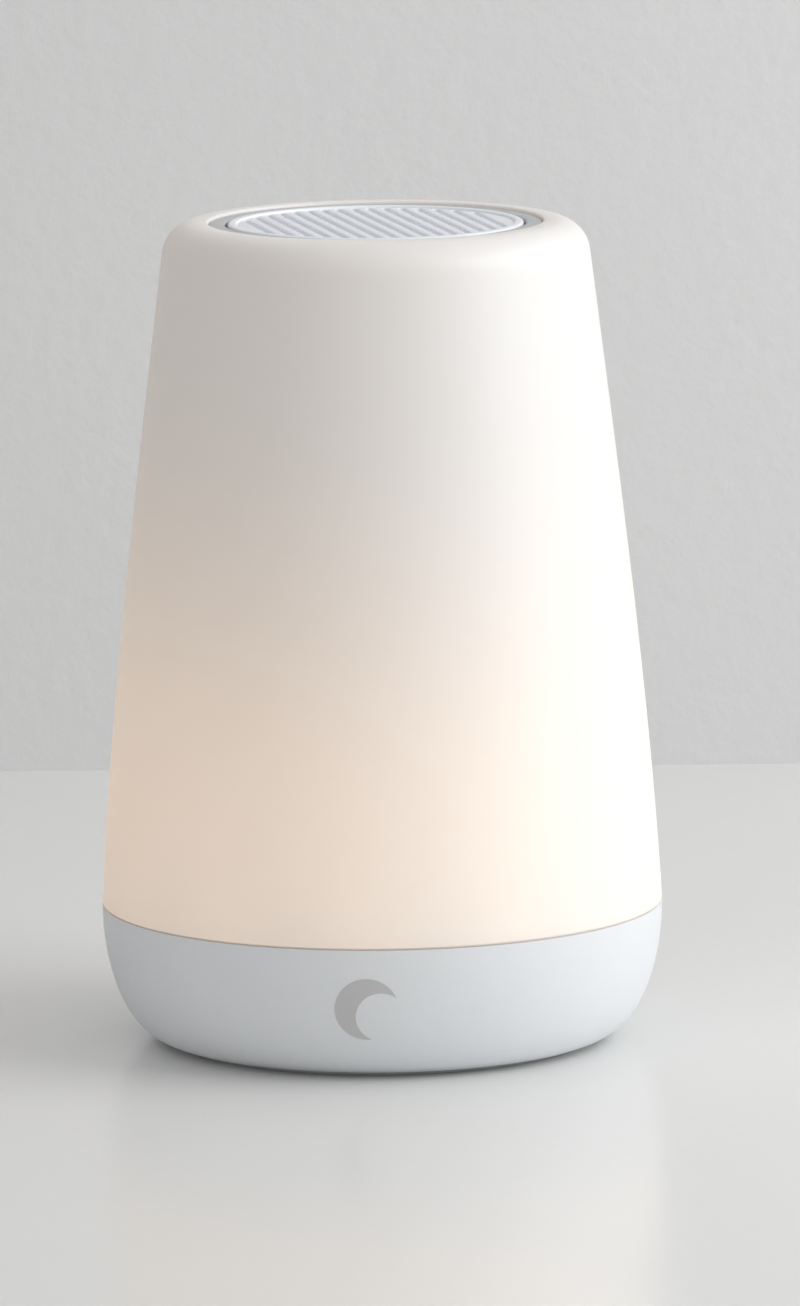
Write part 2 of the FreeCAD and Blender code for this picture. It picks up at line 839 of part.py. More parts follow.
def shade():
    """Frosted shade with a tongue at its foot and a stepped well in its top."""
    outer, foot, crown = shade_curve(0.0)
    inner, inner_foot, inner_crown = shade_curve(shade_wall)
    tongue = outer_radius - rim_wall - tongue_gap
    tongue_end = seam_height - tongue_depth
    shelf_inner = lip_radius - shelf_width
    top = chain([crown, (lip_radius, lip_height), (lip_radius, shelf_top), (shelf_inner, shelf_top),
                 (shelf_inner, pod_top), (inner_crown[0], pod_top), inner_crown])
    foot_edges = chain([inner_foot, (inner_foot[0], tongue_end), (tongue, tongue_end), (tongue, shade_foot),
                        foot])
    body = turned([*outer, *inner, *top, *foot_edges])
    hole = disc(contact_radius + slip, pod_top, shelf_top, polar(contact_circle(), touch_angle))
    return body.cut(hole)


def touch_ring():
    """Metal ring that senses a finger; its edges are eased."""
    body = ring(ring_inner, ring_outer, shelf_top, ring_top)
    return body.makeFillet(ring_round, circles_at(body, ring_top))


def contact_circle():
    """Radius on which the touch contact stands under its ring."""
    return ring_inner + contact_inset


def pod_flange_radius():
    """Outer radius of the pod's flange under the shade's shelf."""
    return lip_radius - shelf_width + shelf_lap


def touch_contact():
    """Pin that joins the touch ring to its lead."""
    at = polar(contact_circle(), touch_angle)
    return disc(contact_radius, contact_bottom(), shelf_top, at)


def contact_bottom():
    """Lower end of the touch contact."""
    return pod_top - pod_flange_thickness - contact_tail


def slot(offset, reach):
    """Long round-ended cutter for one slot of the grille."""
    half = math.sqrt(reach * reach - offset * offset) - slot_width / 2
    low = field_bottom - past
    high = field_top + past
    body = block((slot_width, 2 * half, high - low), offset, 0, low)
    ends = [disc(slot_width / 2, low, high, V(offset, y, 0)) for y in (-half, half)]
    return joined([body, *ends])


def grille():
    """Slotted disc with a raised rim and a spigot that sits in the pod."""
    rim = grille_radius - grille_rim_width
    ease = grille_rim_step
    body = turned_polygon([
        (0, field_bottom), (spigot_radius - grille_spigot_wall, field_bottom),
        (spigot_radius - grille_spigot_wall, pod_top - grille_spigot_depth),
        (spigot_radius, pod_top - grille_spigot_depth), (spigot_radius, pod_top), (grille_radius, pod_top),
        (grille_radius, grille_top - ease), (grille_radius - ease, grille_top), (rim + ease, grille_top),
        (rim, field_top), (0, field_top),
    ])
    reach = spigot_radius - grille_spigot_wall - slot_margin
    pairs = round((reach - slot_width) / slot_pitch)
    slots = [slot((n + 0.5) * slot_pitch, reach) for n in range(-pairs, pairs)]
    for cutter in slots:
        cutter.rotate(ORIGIN, UP, slot_angle)
    return body.cut(slots)


def grille_scrim():
    """Cloth disc behind the slots."""
    return disc(spigot_radius - grille_spigot_wall - touch, field_bottom - scrim_thickness, field_bottom)


# ---- Speaker pod and driver ----

def speaker_pod():
    """Closed cup behind the driver, with the ledge that it sits on."""
    outer = pod_bore + pod_wall
    flange = pod_flange_radius()
    hole = column_radius - column_wall
    body = turned_polygon([
        (hole, pod_bottom), (outer, pod_bottom), (outer, pod_top - pod_flange_thickness),
        (flange, pod_top - pod_flange_thickness), (flange, pod_top), (pod_bore, pod_top),
        (pod_bore, ledge_height), (ledge_bore, ledge_height), (ledge_bore, ledge_height - ledge_thickness),
        (pod_bore, ledge_height - ledge_thickness), (pod_bore, pod_floor_top), (hole, pod_floor_top),
    ])
    holes = [disc(small_screw["shank"] + post_hole_play, pod_bottom, pod_floor_top,
                  polar(column_screw_circle, a)) for a in column_screw_angles]
    for angle in driver_screw_angles():
        holes.append(disc(driver_screw["shank"] + touch, ledge_height - ledge_thickness, ledge_height,
                          polar(driver_radius - driver_screw_inset, angle)))
    holes.append(disc(contact_radius + slip, pod_top - pod_flange_thickness, pod_top,
                      polar(contact_circle(), touch_angle)))
    return drilled(body, holes)


def driver_screw_angles():
    """Angles of the four screws of the driver's flange."""
    return [45.0 + 90.0 * n for n in range(4)]


def driver_gasket():
    """Foam ring between the driver's flange and the pod's ledge."""
    body = ring(ledge_bore, driver_radius, ledge_height, ledge_height + gasket_thickness)
    holes = [disc(driver_screw["shank"] + post_hole_play, ledge_height, ledge_height + gasket_thickness,
                  polar(driver_radius - driver_screw_inset, a)) for a in driver_screw_angles()]
    return drilled(body, holes)


def driver_basket():
    """Pressed steel frame of the driver, with windows and a shelf for the spider."""
    mouth = driver_radius - flange_width
    low = ledge_height - basket_depth
    shelf = ledge_height - spider_drop
    skin = basket_skin
    foot = basket_foot_radius
    inner = foot - skin
    flange_bottom = flange_top - flange_thickness
    body = turned_polygon([
        (coil_radius + winding_thickness + coil_gap, low), (foot, low), (foot, shelf + skin),
        (mouth + skin, flange_bottom), (driver_radius, flange_bottom), (driver_radius, flange_top),
        (mouth, flange_top), (mouth, flange_bottom), (inner, shelf + skin), (inner, shelf),
        (inner - spider_land, shelf), (inner - spider_land, shelf - skin), (inner, shelf - skin),
        (inner, low + skin), (coil_radius + winding_thickness + coil_gap, low + skin),
    ])
    slope = flange_bottom - shelf - skin
    window = Part.makeBox(driver_radius, window_width, slope * window_share,
                          V(0, -window_width / 2, shelf + skin + slope * (1 - window_share) / 2))
    windows = []
    for n in range(4):
        cutter = window.copy()
        cutter.rotate(ORIGIN, UP, 45.0 + 90.0 * n)
        windows.append(cutter)
    holes = [disc(driver_screw["shank"] + post_hole_play, flange_bottom, flange_top,
                  polar(driver_radius - driver_screw_inset, a)) for a in driver_screw_angles()]
    return drilled(body, windows + holes)


def driver_screws():
    """Four small screws that hold the driver in the pod."""
    tip = ledge_height - ledge_thickness
    return [screw(driver_screw, flange_top, tip, polar(driver_radius - driver_screw_inset, a))
            for a in driver_screw_angles()]


def driver_terminals():
    """Two solder lugs on an insulating strip at the basket's foot."""
    low = ledge_height - basket_depth
    face = basket_foot_radius + strip_thickness
    strip = block((strip_thickness, strip_width, strip_height), strip_thickness / 2 - face, 0, low)
    strip = strip.cut(disc(basket_foot_radius, low, low + strip_height))
    length = terminal_x() + lug_margin - face
    lug_size = (length, lug_width, lug_thickness)
    middle = -(face + length / 2)
    lugs = [block(lug_size, middle, side * lead_spacing, terminal_bottom()) for side in (-1, 1)]
    return [strip, *lugs]


def terminal_x():
    """How far out the leads leave the driver."""
    return basket_foot_radius + lug_reach


def terminal_bottom():
    """Underside of the solder lugs."""
    return ledge_height - basket_depth + lug_rise


def surround_inner():
    """Inner edge of the surround's roll, where its land on the cone begins."""
    return driver_radius - flange_width - surround_margin - 2 * surround_roll


def driver_surround():
    """Rubber half-roll between the basket's flange and the cone."""
    inner = surround_inner()
    outer = inner + 2 * surround_roll
    centre = ((inner + outer) / 2, flange_top)
    top = flange_top + surround_skin
    over = math.degrees(math.asin(surround_skin / (surround_roll + surround_skin)))
    reach = (surround_roll + surround_skin) * math.cos(math.radians(over))
    roll_top = arc(centre, surround_roll + surround_skin, over, 180.0 - over)
    roll_under = arc(centre, surround_roll, 0.0, 180.0)
    inside = chain([(centre[0] - reach, top), (inner - surround_land, top),
                    (inner - surround_land, flange_top), (inner, flange_top)])
    outside = chain([(outer, flange_top), (outer + surround_land, flange_top), (outer + surround_land, top),
                     (centre[0] + reach, top)])
    return turned([roll_top, roll_under, *inside, *outside])


def driver_cone():
    """Paper cone with a flat land for the surround and a neck for the voice coil."""
    land_inner = surround_inner() - surround_land
    land_outer = surround_inner()
    top = flange_top
    low = top - cone_depth
    return turned_polygon([
        (coil_radius, low), (coil_radius + cone_skin, low), (land_inner + cone_skin, top - cone_skin),
        (land_outer, top - cone_skin), (land_outer, top), (land_inner, top), (coil_radius, low + cone_skin),
    ])


def cone_height_at(radius):
    """Height of the cone's front face at a radius."""
    land_inner = surround_inner() - surround_land
    share = (radius - coil_radius) / (land_inner - coil_radius)
    return flange_top - cone_depth + cone_skin + share * (cone_depth - cone_skin)


def dust_cap():
    """Domed cap over the voice coil, glued to the cone's face."""
    edge = coil_radius + dust_cap_lap
    foot = cone_height_at(edge)
    sphere = (edge ** 2 + dust_cap_rise ** 2) / (2 * dust_cap_rise)
    middle = foot + dust_cap_rise - sphere
    outer = Part.makeSphere(sphere, V(0, 0, middle))
    inner = Part.makeSphere(sphere - cone_skin, V(0, 0, middle))
    return outer.cut(inner).common(disc(edge, foot, foot + dust_cap_rise + past))


def voice_coil():
    """Former that carries the winding."""
    top = flange_top - cone_depth + cone_skin
    return ring(coil_radius - coil_skin, coil_radius - touch, top - former_length, top)


def coil_winding():
    """Copper winding in the magnet's gap."""
    middle = magnet_top + top_plate_thickness / 2
    return ring(coil_radius, coil_radius + winding_thickness, middle - winding_length / 2,
                middle + winding_length / 2)


def wave_edges(first, last, height):
    """Row of half-round waves, alternately up and down, from one radius to another."""
    step = (last - first) / spider_waves
    edges = []
    for n in range(spider_waves):
        start = first + n * step
        rise = spider_wave if n % 2 == 0 else -spider_wave
        edges.append(Part.Arc(V(start, 0, height), V(start + step / 2, 0, height + rise),
                              V(start + step, 0, height)).toShape())
    return edges


def driver_spider():
    """Corrugated cloth ring that centres the voice coil."""
    low = ledge_height - spider_drop
    top = low + spider_skin
    inner = coil_radius + touch
    outer = basket_foot_radius - basket_skin
    wave_end = outer - spider_land
    upper = wave_edges(inner, wave_end, top)
    lower = wave_edges(inner, wave_end, low)
    land = chain([(wave_end, top), (outer, top), (outer, low), (wave_end, low)])
    return turned([*upper, *lower, line((inner, low), (inner, top)), *land])


def driver_top_plate():
    """Steel plate above the magnet; its bore is the outer wall of the gap."""
    bore = coil_radius + winding_thickness + coil_gap
    return ring(bore, plate_radius, magnet_top, magnet_top + top_plate_thickness)


def driver_magnet():
    """Ferrite ring magnet."""
    body = ring(magnet_hole_radius, magnet_radius, yoke_top, magnet_top)
    rims = [e for e in body.Edges if e.Closed and abs(e.Curve.Radius - magnet_radius) < tiny]
    return body.makeChamfer(magnet_chamfer, rims)


def driver_yoke():
    """Steel back plate with its pole piece."""
    pole = coil_radius - coil_skin - coil_gap
    return joined([
        disc(plate_radius, yoke_top - yoke_thickness, yoke_top),
        disc(pole, yoke_top, magnet_top + top_plate_thickness),
    ])


# ---- Leads ----

def speaker_lead(side):
    """Lead from a solder lug, under the magnet and down the column to its socket."""
    y = side * lead_spacing
    under = pod_floor_top + lead_floor_rise
    bend = tray_bottom - tray_hub_depth - lead_bend_drop
    return bent_lead([
        (-terminal_x(), y, terminal_bottom()), (-terminal_x(), y, under), (-lead_column_x, y, under),
        (-lead_column_x, y, bend), (speaker_socket_x(), y, connector_top + lead_socket_rise),
        (speaker_socket_x(), y, connector_top),
    ], lead_radius)


def lamp_lead():
    """Lead from the lamp board's socket down through the tray."""
    height = led_board_top + led_socket[2] / 2
    start = polar(led_connector_circle() - led_socket[0] / 2, lamp_lead_angle, height)
    corner = polar(lead_hole_circle, lamp_lead_angle, height)
    end = polar(lead_hole_circle, lamp_lead_angle, connector_top)
    return bent_lead([start, corner, end], lamp_lead_radius)


def touch_lead():
    """Lead from the touch contact, beside the pod and the column, down through the tray."""
    side = contact_circle()
    return bent_lead([
        polar(side, touch_angle, contact_bottom()),
        polar(side, touch_angle, pod_bottom - lead_pod_drop),
        polar(lead_hole_circle, touch_angle, pod_bottom - lead_slope_drop),
        polar(lead_hole_circle, touch_angle, connector_top),
    ], lead_radius)


# ---- Assembly ----

def nodes():
    """Every piece by name; a list is a group of separate solids that share one name."""
    made = {
        "base_shell": base_shell(), "foot_ring": foot_ring(), "base_screws": base_screws(),
        "dc_jack": dc_jack(), "dc_jack_pin": dc_jack_pin(), "dc_jack_spring": dc_jack_spring(),
        "tact_switches": tact_switches(),
        "light_key_board": key_board(["light_down", "light_up"]),
        "sound_key_board": key_board(["sound_down", "sound_up"]),
        "main_board": main_board(), "board_screws": board_screws(), "wireless_module": wireless_module(),
        "amplifier_chip": amplifier_chip(), "capacitors": capacitors(), "power_inductor": power_inductor(),
        "board_connectors": board_connectors(),
        "light_tray": light_tray(), "light_seal": light_seal(), "led_board": led_board(),
        "led_chips": led_chips(), "led_lenses": led_lenses(), "led_board_screws": led_board_screws(),
        "led_connector": led_connector(),
        "column": column(), "column_screws": column_screws(), "pod_screws": pod_screws(),
        "shade": shade(), "touch_ring": touch_ring(), "touch_contact": touch_contact(),
        "grille": grille(), "grille_scrim": grille_scrim(),
        "speaker_pod": speaker_pod(), "driver_gasket": driver_gasket(), "driver_basket": driver_basket(),
        "driver_screws": driver_screws(), "driver_terminals": driver_terminals(),
        "driver_surround": driver_surround(), "driver_cone": driver_cone(), "dust_cap": dust_cap(),
        "voice_coil": voice_coil(), "coil_winding": coil_winding(), "driver_spider": driver_spider(),
        "driver_top_plate": driver_top_plate(), "driver_magnet": driver_magnet(),
        "driver_yoke": driver_yoke(),
        "speaker_lead_red": speaker_lead(1), "speaker_lead_black": speaker_lead(-1),
        "lamp_lead": lamp_lead(), "touch_lead": touch_lead(),
    }
    for name in key_angles:
        made[name + "_key"] = key(name)
        made[name + "_stem"] = key_stem(name)
    return made


def main():
    """Writes each piece to its own file and prints the places that the record states."""
    os.makedirs("parts", exist_ok=True)
    for name, shape in nodes().items():
        solids = shape if isinstance(shape, list) else [shape]
        body = Part.makeCompound([s for piece in solids for s in piece.Solids])
        faults = [s for s in body.Solids if not (s.isValid() and s.isClosed() and s.Volume > 0)]
        print(f"{name:20s} solids {len(body.Solids):2d}  volume {body.Volume:10.2f}  faults {len(faults)}")
        body.exportStep(f"parts/{name}.step")
    print(f"port face y {port_face():.4f}, port depth {port_depth:.4f}, inlet height {inlet_height:.4f}")
    print(f"inlet mouth y {jack_mouth():.4f}, pin tip y {jack_mouth() - jack_pin_recess:.4f}")
    print(f"pin root y {jack_mouth() - jack_bore_depth:.4f}, foot ring middle radius {post_circle:.4f}")
    print(f"surround foot z {flange_top:.4f}, spider foot z {ledge_height - spider_drop:.4f}")
    print(f"key travel {key_travel:.4f}, cone travel {cone_travel:.4f} each way")


main()
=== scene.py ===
"""Looks of a bedside smart speaker: a lit, frosted shade on a round base, with a slotted grille in its top.

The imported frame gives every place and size. The pieces here are in metres, in the frame's own axes: +Z is up,
-Y is the front, and the origin is the centre of the footprint.
"""

import logging
import math
from dataclasses import dataclass, field
from enum import Enum
from functools import cache
from typing import Callable, Iterable

import bmesh
import bpy
from mathutils import Matrix, Vector
from mathutils.geometry import interpolate_bezier


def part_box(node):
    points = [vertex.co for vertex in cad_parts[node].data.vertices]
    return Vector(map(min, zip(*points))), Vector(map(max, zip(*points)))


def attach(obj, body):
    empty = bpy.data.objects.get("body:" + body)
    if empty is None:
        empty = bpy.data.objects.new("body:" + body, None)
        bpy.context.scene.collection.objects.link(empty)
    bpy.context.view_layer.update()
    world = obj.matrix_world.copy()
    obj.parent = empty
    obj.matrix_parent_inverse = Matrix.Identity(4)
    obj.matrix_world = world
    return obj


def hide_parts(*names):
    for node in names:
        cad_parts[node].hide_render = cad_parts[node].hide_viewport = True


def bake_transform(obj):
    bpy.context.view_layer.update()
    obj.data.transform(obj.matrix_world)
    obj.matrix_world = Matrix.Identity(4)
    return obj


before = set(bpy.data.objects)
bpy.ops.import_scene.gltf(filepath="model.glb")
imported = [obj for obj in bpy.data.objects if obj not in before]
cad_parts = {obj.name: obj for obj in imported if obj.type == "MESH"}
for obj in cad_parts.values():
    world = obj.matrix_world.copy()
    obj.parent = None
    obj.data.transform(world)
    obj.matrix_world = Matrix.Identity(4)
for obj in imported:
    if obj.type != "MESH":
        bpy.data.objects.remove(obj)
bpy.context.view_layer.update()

MM = 0.001
LOG = logging.getLogger("speaker")
Colour = tuple[float, float, float]
Outline = list[tuple[float, float]]
Corner = tuple[float, float, float]


# ---- Node trees ----

MIX_COLOURS = (6, 7)
MIX_RESULT = 2


class Graph:
    """Short way to fill one node tree.

    Args:
        tree: The material's or group's node tree.
    """

    def __init__(self, tree: bpy.types.NodeTree) -> None:
        """Keeps the tree that the other methods fill."""
        self.tree = tree

    def node(self, kind: str, *inputs: object, **settings: object) -> bpy.types.Node:
        """Adds a node and sets it up.

        Args:
            kind: Blender's class name of the node, without its ShaderNode prefix.
            inputs: Values or output sockets for the first inputs; None leaves one as it is.
            settings: Attributes of the node.

        Returns:
            The new node.
        """
        made = self.tree.nodes.new("ShaderNode" + kind)
        for name, value in settings.items():
            setattr(made, name, value)
        for index, value in enumerate(inputs):
            if value is not None:
                self.feed(value, made.inputs[index])
        return made

    def feed(self, value: object, socket: bpy.types.NodeSocket) -> None:
        """Links an output socket to an input, or sets the input's own value.

        Args:
            value: Output socket, colour or plain value.
            socket: The input.
        """
        if isinstance(value, bpy.types.NodeSocket):
            self.tree.links.new(value, socket)
        elif isinstance(value, tuple) and socket.type == "RGBA":
            socket.default_value = (*value[:3], 1.0)
        else:
            socket.default_value = value

    def math(self, operation: str, *inputs: object) -> bpy.types.NodeSocket:
        """Adds a Math node and returns its output."""
        return self.node("Math", *inputs, operation=operation).outputs[0]

    def times(self, first: object, second: object) -> bpy.types.NodeSocket:
        """Returns the product of two values."""
        return self.math("MULTIPLY", first, second)

    def plus(self, first: object, second: object) -> bpy.types.NodeSocket:
        """Returns the sum of two values."""
        return self.math("ADD", first, second)

    def place(self) -> bpy.types.NodeSocket:
        """Returns the point on the surface, in the object's own axes."""
        return self.node("TexCoord").outputs["Object"]

    def span(self, value: object, low: float, high: float, first: float = 0.0,
             last: float = 1.0) -> bpy.types.NodeSocket:
        """Maps a value smoothly from one range to another.

        Args:
            value: Output socket to map.
            low: Value that gives first.
            high: Value that gives last.
            first: Result at low.
            last: Result at high.

        Returns:
            The mapped output.
        """
        made = self.node("MapRange", value, low, high, first, last, interpolation_type="SMOOTHSTEP")
        return made.outputs[0]

    def mix(self, factor: object, first: object, second: object) -> bpy.types.NodeSocket:
        """Blends two colours.

        Args:
            factor: Share of the second colour.
            first: First colour.
            second: Second colour.

        Returns:
            The blended colour.
        """
        made = self.node("Mix", factor, data_type="RGBA")
        for colour, index in zip((first, second), MIX_COLOURS):
            self.feed(colour, made.inputs[index])
        return made.outputs[MIX_RESULT]

    def noise(self, place: object, scale: object, detail: float) -> bpy.types.NodeSocket:
        """Adds fractal noise.

        Args:
            place: Point that it is taken at.
            scale: Its scale, per metre.
            detail: Its octaves.

        Returns:
            The noise's value.
        """
        made = self.node("TexNoise", place)
        self.feed(scale, made.inputs["Scale"])
        made.inputs["Detail"].default_value = detail
        return made.outputs[0]

    def polar(self, place: object) -> tuple[bpy.types.NodeSocket, ...]:
        """Splits a point into its round measures.

        Args:
            place: The point.

        Returns:
            Its radius from the Z axis, its angle about it and its height.
        """
        split = self.node("SeparateXYZ", place)
        flat = self.node("CombineXYZ", split.outputs[0], split.outputs[1])
        radius = self.node("VectorMath", flat.outputs[0], operation="LENGTH").outputs[1]
        angle = self.math("ARCTAN2", split.outputs[1], split.outputs[0])
        return radius, angle, split.outputs[2]


class SocketKind(Enum):
    """Kinds of socket that a shared group has."""

    VALUE = "NodeSocketFloat"
    COLOUR = "NodeSocketColor"


@dataclass(frozen=True)
class SharedGroup:
    """Effect that several finishes share, built once.

    Attributes:
        name: Name of the node group.
        inputs: Name and kind of each input.
        outputs: Name and kind of each output.
        build: Function that fills the group from its graph, its input node and its output node.
    """

    name: str
    inputs: tuple[tuple[str, SocketKind], ...]
    outputs: tuple[tuple[str, SocketKind], ...]
    build: Callable[[Graph, bpy.types.Node, bpy.types.Node], None]

    def tree(self) -> bpy.types.NodeTree:
        """Makes the group's tree the first time it is asked for.

        Returns:
            The tree.
        """
        found = bpy.data.node_groups.get(self.name)
        if found:
            return found
        tree = bpy.data.node_groups.new(self.name, "ShaderNodeTree")
        for way, sockets in (("INPUT", self.inputs), ("OUTPUT", self.outputs)):
            for name, kind in sockets:
                tree.interface.new_socket(name=name, in_out=way, socket_type=kind.value)
        graph = Graph(tree)
        entry = tree.nodes.new("NodeGroupInput")
        leave = tree.nodes.new("NodeGroupOutput")
        self.build(graph, entry, leave)
        return tree

    def place(self, graph: Graph, **values: object) -> bpy.types.Node:
        """Puts the group into a material.

        Args:
            graph: The material's graph.
            values: Value or socket of each input, with spaces in its name written as underscores.

        Returns:
            The group's node.
        """
        made = graph.node("Group", node_tree=self.tree())
        for name, value in values.items():
            graph.feed(value, made.inputs[name.replace("_", " ")])
        return made


GRAIN_DETAIL = 3.0
CLOUD_DETAIL = 4.0
CLOUD_SHARE = 0.04
CLOUD_SPAN = (0.3, 0.7)
RUB_SPAN = (0.995, 0.80)
RUB_SAMPLES = 4
CHIP_SCALE = 900.0
CHIP_DETAIL = 4.0
CHIP_SPAN = (0.35, 0.65)
THREAD_SHARE = 0.7
CROSSING_SHARE = 0.3
THREAD_SPAN = (0.30, 0.65)


def fill_grain(graph: Graph, entry: bpy.types.Node, leave: bpy.types.Node) -> None:
    """Fills the group of uneven colour, uneven gloss and fine relief that every solid finish has.

    Args:
        graph: The group's graph.
        entry: Its input node.
        leave: Its output node.
    """
    place = graph.place()
    fine = graph.noise(place, entry.outputs["Scale"], GRAIN_DETAIL)
    cloud = graph.noise(place, graph.times(entry.outputs["Scale"], CLOUD_SHARE), CLOUD_DETAIL)
    patch = graph.span(cloud, *CLOUD_SPAN)
    amount = graph.times(patch, entry.outputs["Variation"])
    colour = graph.mix(amount, entry.outputs["Colour"], entry.outputs["Second Colour"])
    graph.feed(colour, leave.inputs["Colour"])
    swing, speck = (graph.times(graph.math("SUBTRACT", value, 0.5), entry.outputs["Gloss Spread"])
                    for value in (patch, fine))
    graph.feed(graph.plus(entry.outputs["Roughness"], graph.plus(swing, speck)), leave.inputs["Roughness"])
    graph.feed(fine, leave.inputs["Height"])


def fill_wear(graph: Graph, entry: bpy.types.Node, leave: bpy.types.Node) -> None:
    """Fills the group that marks rubbed edges, broken up by noise.

    Args:
        graph: The group's graph.
        entry: Its input node.
        leave: Its output node.
    """
    place = graph.place()
    soft = graph.node("Bevel", samples=RUB_SAMPLES)
    graph.feed(entry.outputs["Width"], soft.inputs["Radius"])
    sharp = graph.node("NewGeometry").outputs["Normal"]
    alike = graph.node("VectorMath", soft.outputs[0], sharp, operation="DOT_PRODUCT").outputs["Value"]
    edge = graph.span(alike, *RUB_SPAN)
    chips = graph.span(graph.noise(place, CHIP_SCALE, CHIP_DETAIL), *CHIP_SPAN)
    amount = graph.times(graph.times(edge, chips), entry.outputs["Amount"])
    colour = graph.mix(amount, entry.outputs["Colour"], entry.outputs["Rubbed Colour"])
    graph.feed(colour, leave.inputs["Colour"])


def fill_weave(graph: Graph, entry: bpy.types.Node, leave: bpy.types.Node) -> None:
    """Fills the group of a plain weave: threads over and under each other, with dark gaps.

    Args:
        graph: The group's graph.
        entry: Its input node.
        leave: Its output node.
    """
    split = graph.node("SeparateXYZ", graph.place())
    waves = []
    for axis in (0, 1):
        turn = graph.times(split.outputs[axis], entry.outputs["Threads per Metre"])
        waves.append(graph.math("SINE", graph.times(turn, math.pi)))
    crossing = graph.times(*waves)
    thread = graph.math("MAXIMUM", *(graph.math("ABSOLUTE", wave) for wave in waves))
    height = graph.plus(graph.times(thread, THREAD_SHARE), graph.times(crossing, CROSSING_SHARE))
    graph.feed(height, leave.inputs["Height"])
    graph.feed(graph.span(thread, *THREAD_SPAN), leave.inputs["Thread"])


GRAIN = SharedGroup(
    "surface_grain",
    (("Colour", SocketKind.COLOUR), ("Second Colour", SocketKind.COLOUR),
     ("Variation", SocketKind.VALUE), ("Roughness", SocketKind.VALUE),
     ("Gloss Spread", SocketKind.VALUE), ("Scale", SocketKind.VALUE)),
    (("Colour", SocketKind.COLOUR), ("Roughness", SocketKind.VALUE), ("Height", SocketKind.VALUE)),
    fill_grain,
)
WEAR = SharedGroup(
    "edge_wear",
    (("Colour", SocketKind.COLOUR), ("Rubbed Colour", SocketKind.COLOUR), ("Width", SocketKind.VALUE),
     ("Amount", SocketKind.VALUE)),
    (("Colour", SocketKind.COLOUR),),
    fill_wear,
)
WEAVE = SharedGroup(
    "plain_weave",
    (("Threads per Metre", SocketKind.VALUE),),
    (("Height", SocketKind.VALUE), ("Thread", SocketKind.VALUE)),
    fill_weave,
)


# ---- Finishes ----

SUBSURFACE_RADIUS = (0.004, 0.0035, 0.003)


def lighter(colour: Colour, share: float) -> Colour:
    """Returns a colour moved a share of the way to white, or to black where the share is negative."""
    goal = 1.0 if share > 0 else 0.0
    return tuple(c + (goal - c) * abs(share) for c in colour)


@dataclass(frozen=True)
class Finish:
    """Solid finish with grain, uneven colour and gloss, and rubbed edges.

    Attributes:
        name: Name of the material.
        slot: Slot of the record that the finish belongs to; not used.
        colour: Main colour, linear.
        roughness: Middle roughness.
        metallic: 1 for bare metal.
        variation: How far the colour wanders towards its second shade.
        second: How far the second shade is from the first, towards white or black.
        spread: How far the roughness wanders.
        grain: Noise scale of the fine relief, per metre.
        relief: Height of the fine relief, in metres.
        wear: How much the edges are rubbed.
        wear_width: Width of the rubbed band, in metres.
        rubbed: How far a rubbed edge is from the main colour, towards white or black.
        subsurface: Share of light that goes under the surface.
        coat: Clear coat.
        transmission: Share of light that passes through.
    """

    name: str
    slot: str
    colour: Colour
    roughness: float
    metallic: float = 0.0
    variation: float = 0.5
    second: float = -0.06
    spread: float = 0.08
    grain: float = 1800.0
    relief: float = 0.00002
    wear: float = 0.4
    wear_width: float = 0.0003
    rubbed: float = 0.25
    subsurface: float = 0.0
    coat: float = 0.0
    transmission: float = 0.0

    def material(self) -> bpy.types.Material:
        """Makes the finish's material the first time it is asked for.

        Returns:
            The material.
        """
        found = bpy.data.materials.get(self.name)
        if found:
            return found
        made = bpy.data.materials.new(self.name)
        made.use_nodes = True
        graph = Graph(made.node_tree)
        shader = made.node_tree.nodes["Principled BSDF"]
        self.dress(graph, shader)
        return made

    def dress(self, graph: Graph, shader: bpy.types.Node) -> None:
        """Connects the finish's nodes to its shader.

        Args:
            graph: The material's graph.
            shader: Its shader node.
        """
        shader.inputs["Metallic"].default_value = self.metallic
        shader.inputs["Subsurface Weight"].default_value = self.subsurface
        shader.inputs["Subsurface Radius"].default_value = SUBSURFACE_RADIUS
        shader.inputs["Subsurface Scale"].default_value = 1.0
        shader.inputs["Coat Weight"].default_value = self.coat
        shader.inputs["Transmission Weight"].default_value = self.transmission
        grain = GRAIN.place(graph, Colour=self.colour, Second_Colour=lighter(self.colour, self.second),
                            Variation=self.variation, Roughness=self.roughness,
                            Gloss_Spread=self.spread, Scale=self.grain)
        colour = grain.outputs["Colour"]
        if self.wear:
            worn = WEAR.place(graph, Colour=colour, Rubbed_Colour=lighter(self.colour, self.rubbed),
                              Width=self.wear_width, Amount=self.wear)
            colour = worn.outputs["Colour"]
        graph.feed(self.tint(graph, colour), shader.inputs["Base Color"])
        graph.feed(grain.outputs["Roughness"], shader.inputs["Roughness"])
        bump = graph.node("Bump")
        bump.inputs["Strength"].default_value = 1.0
        bump.inputs["Distance"].default_value = self.relief
        graph.feed(self.height(graph, grain.outputs["Height"]), bump.inputs["Height"])
        graph.feed(bump.outputs[0], shader.inputs["Normal"])

    def tint(self, graph: Graph, colour: bpy.types.NodeSocket) -> bpy.types.NodeSocket:
        """Returns the colour with the finish's own pattern on it; a plain finish has none."""
        return colour

    def height(self, graph: Graph, grain: bpy.types.NodeSocket) -> bpy.types.NodeSocket:
        """Returns the relief with the finish's own pattern on it; a plain finish has none."""
        return grain


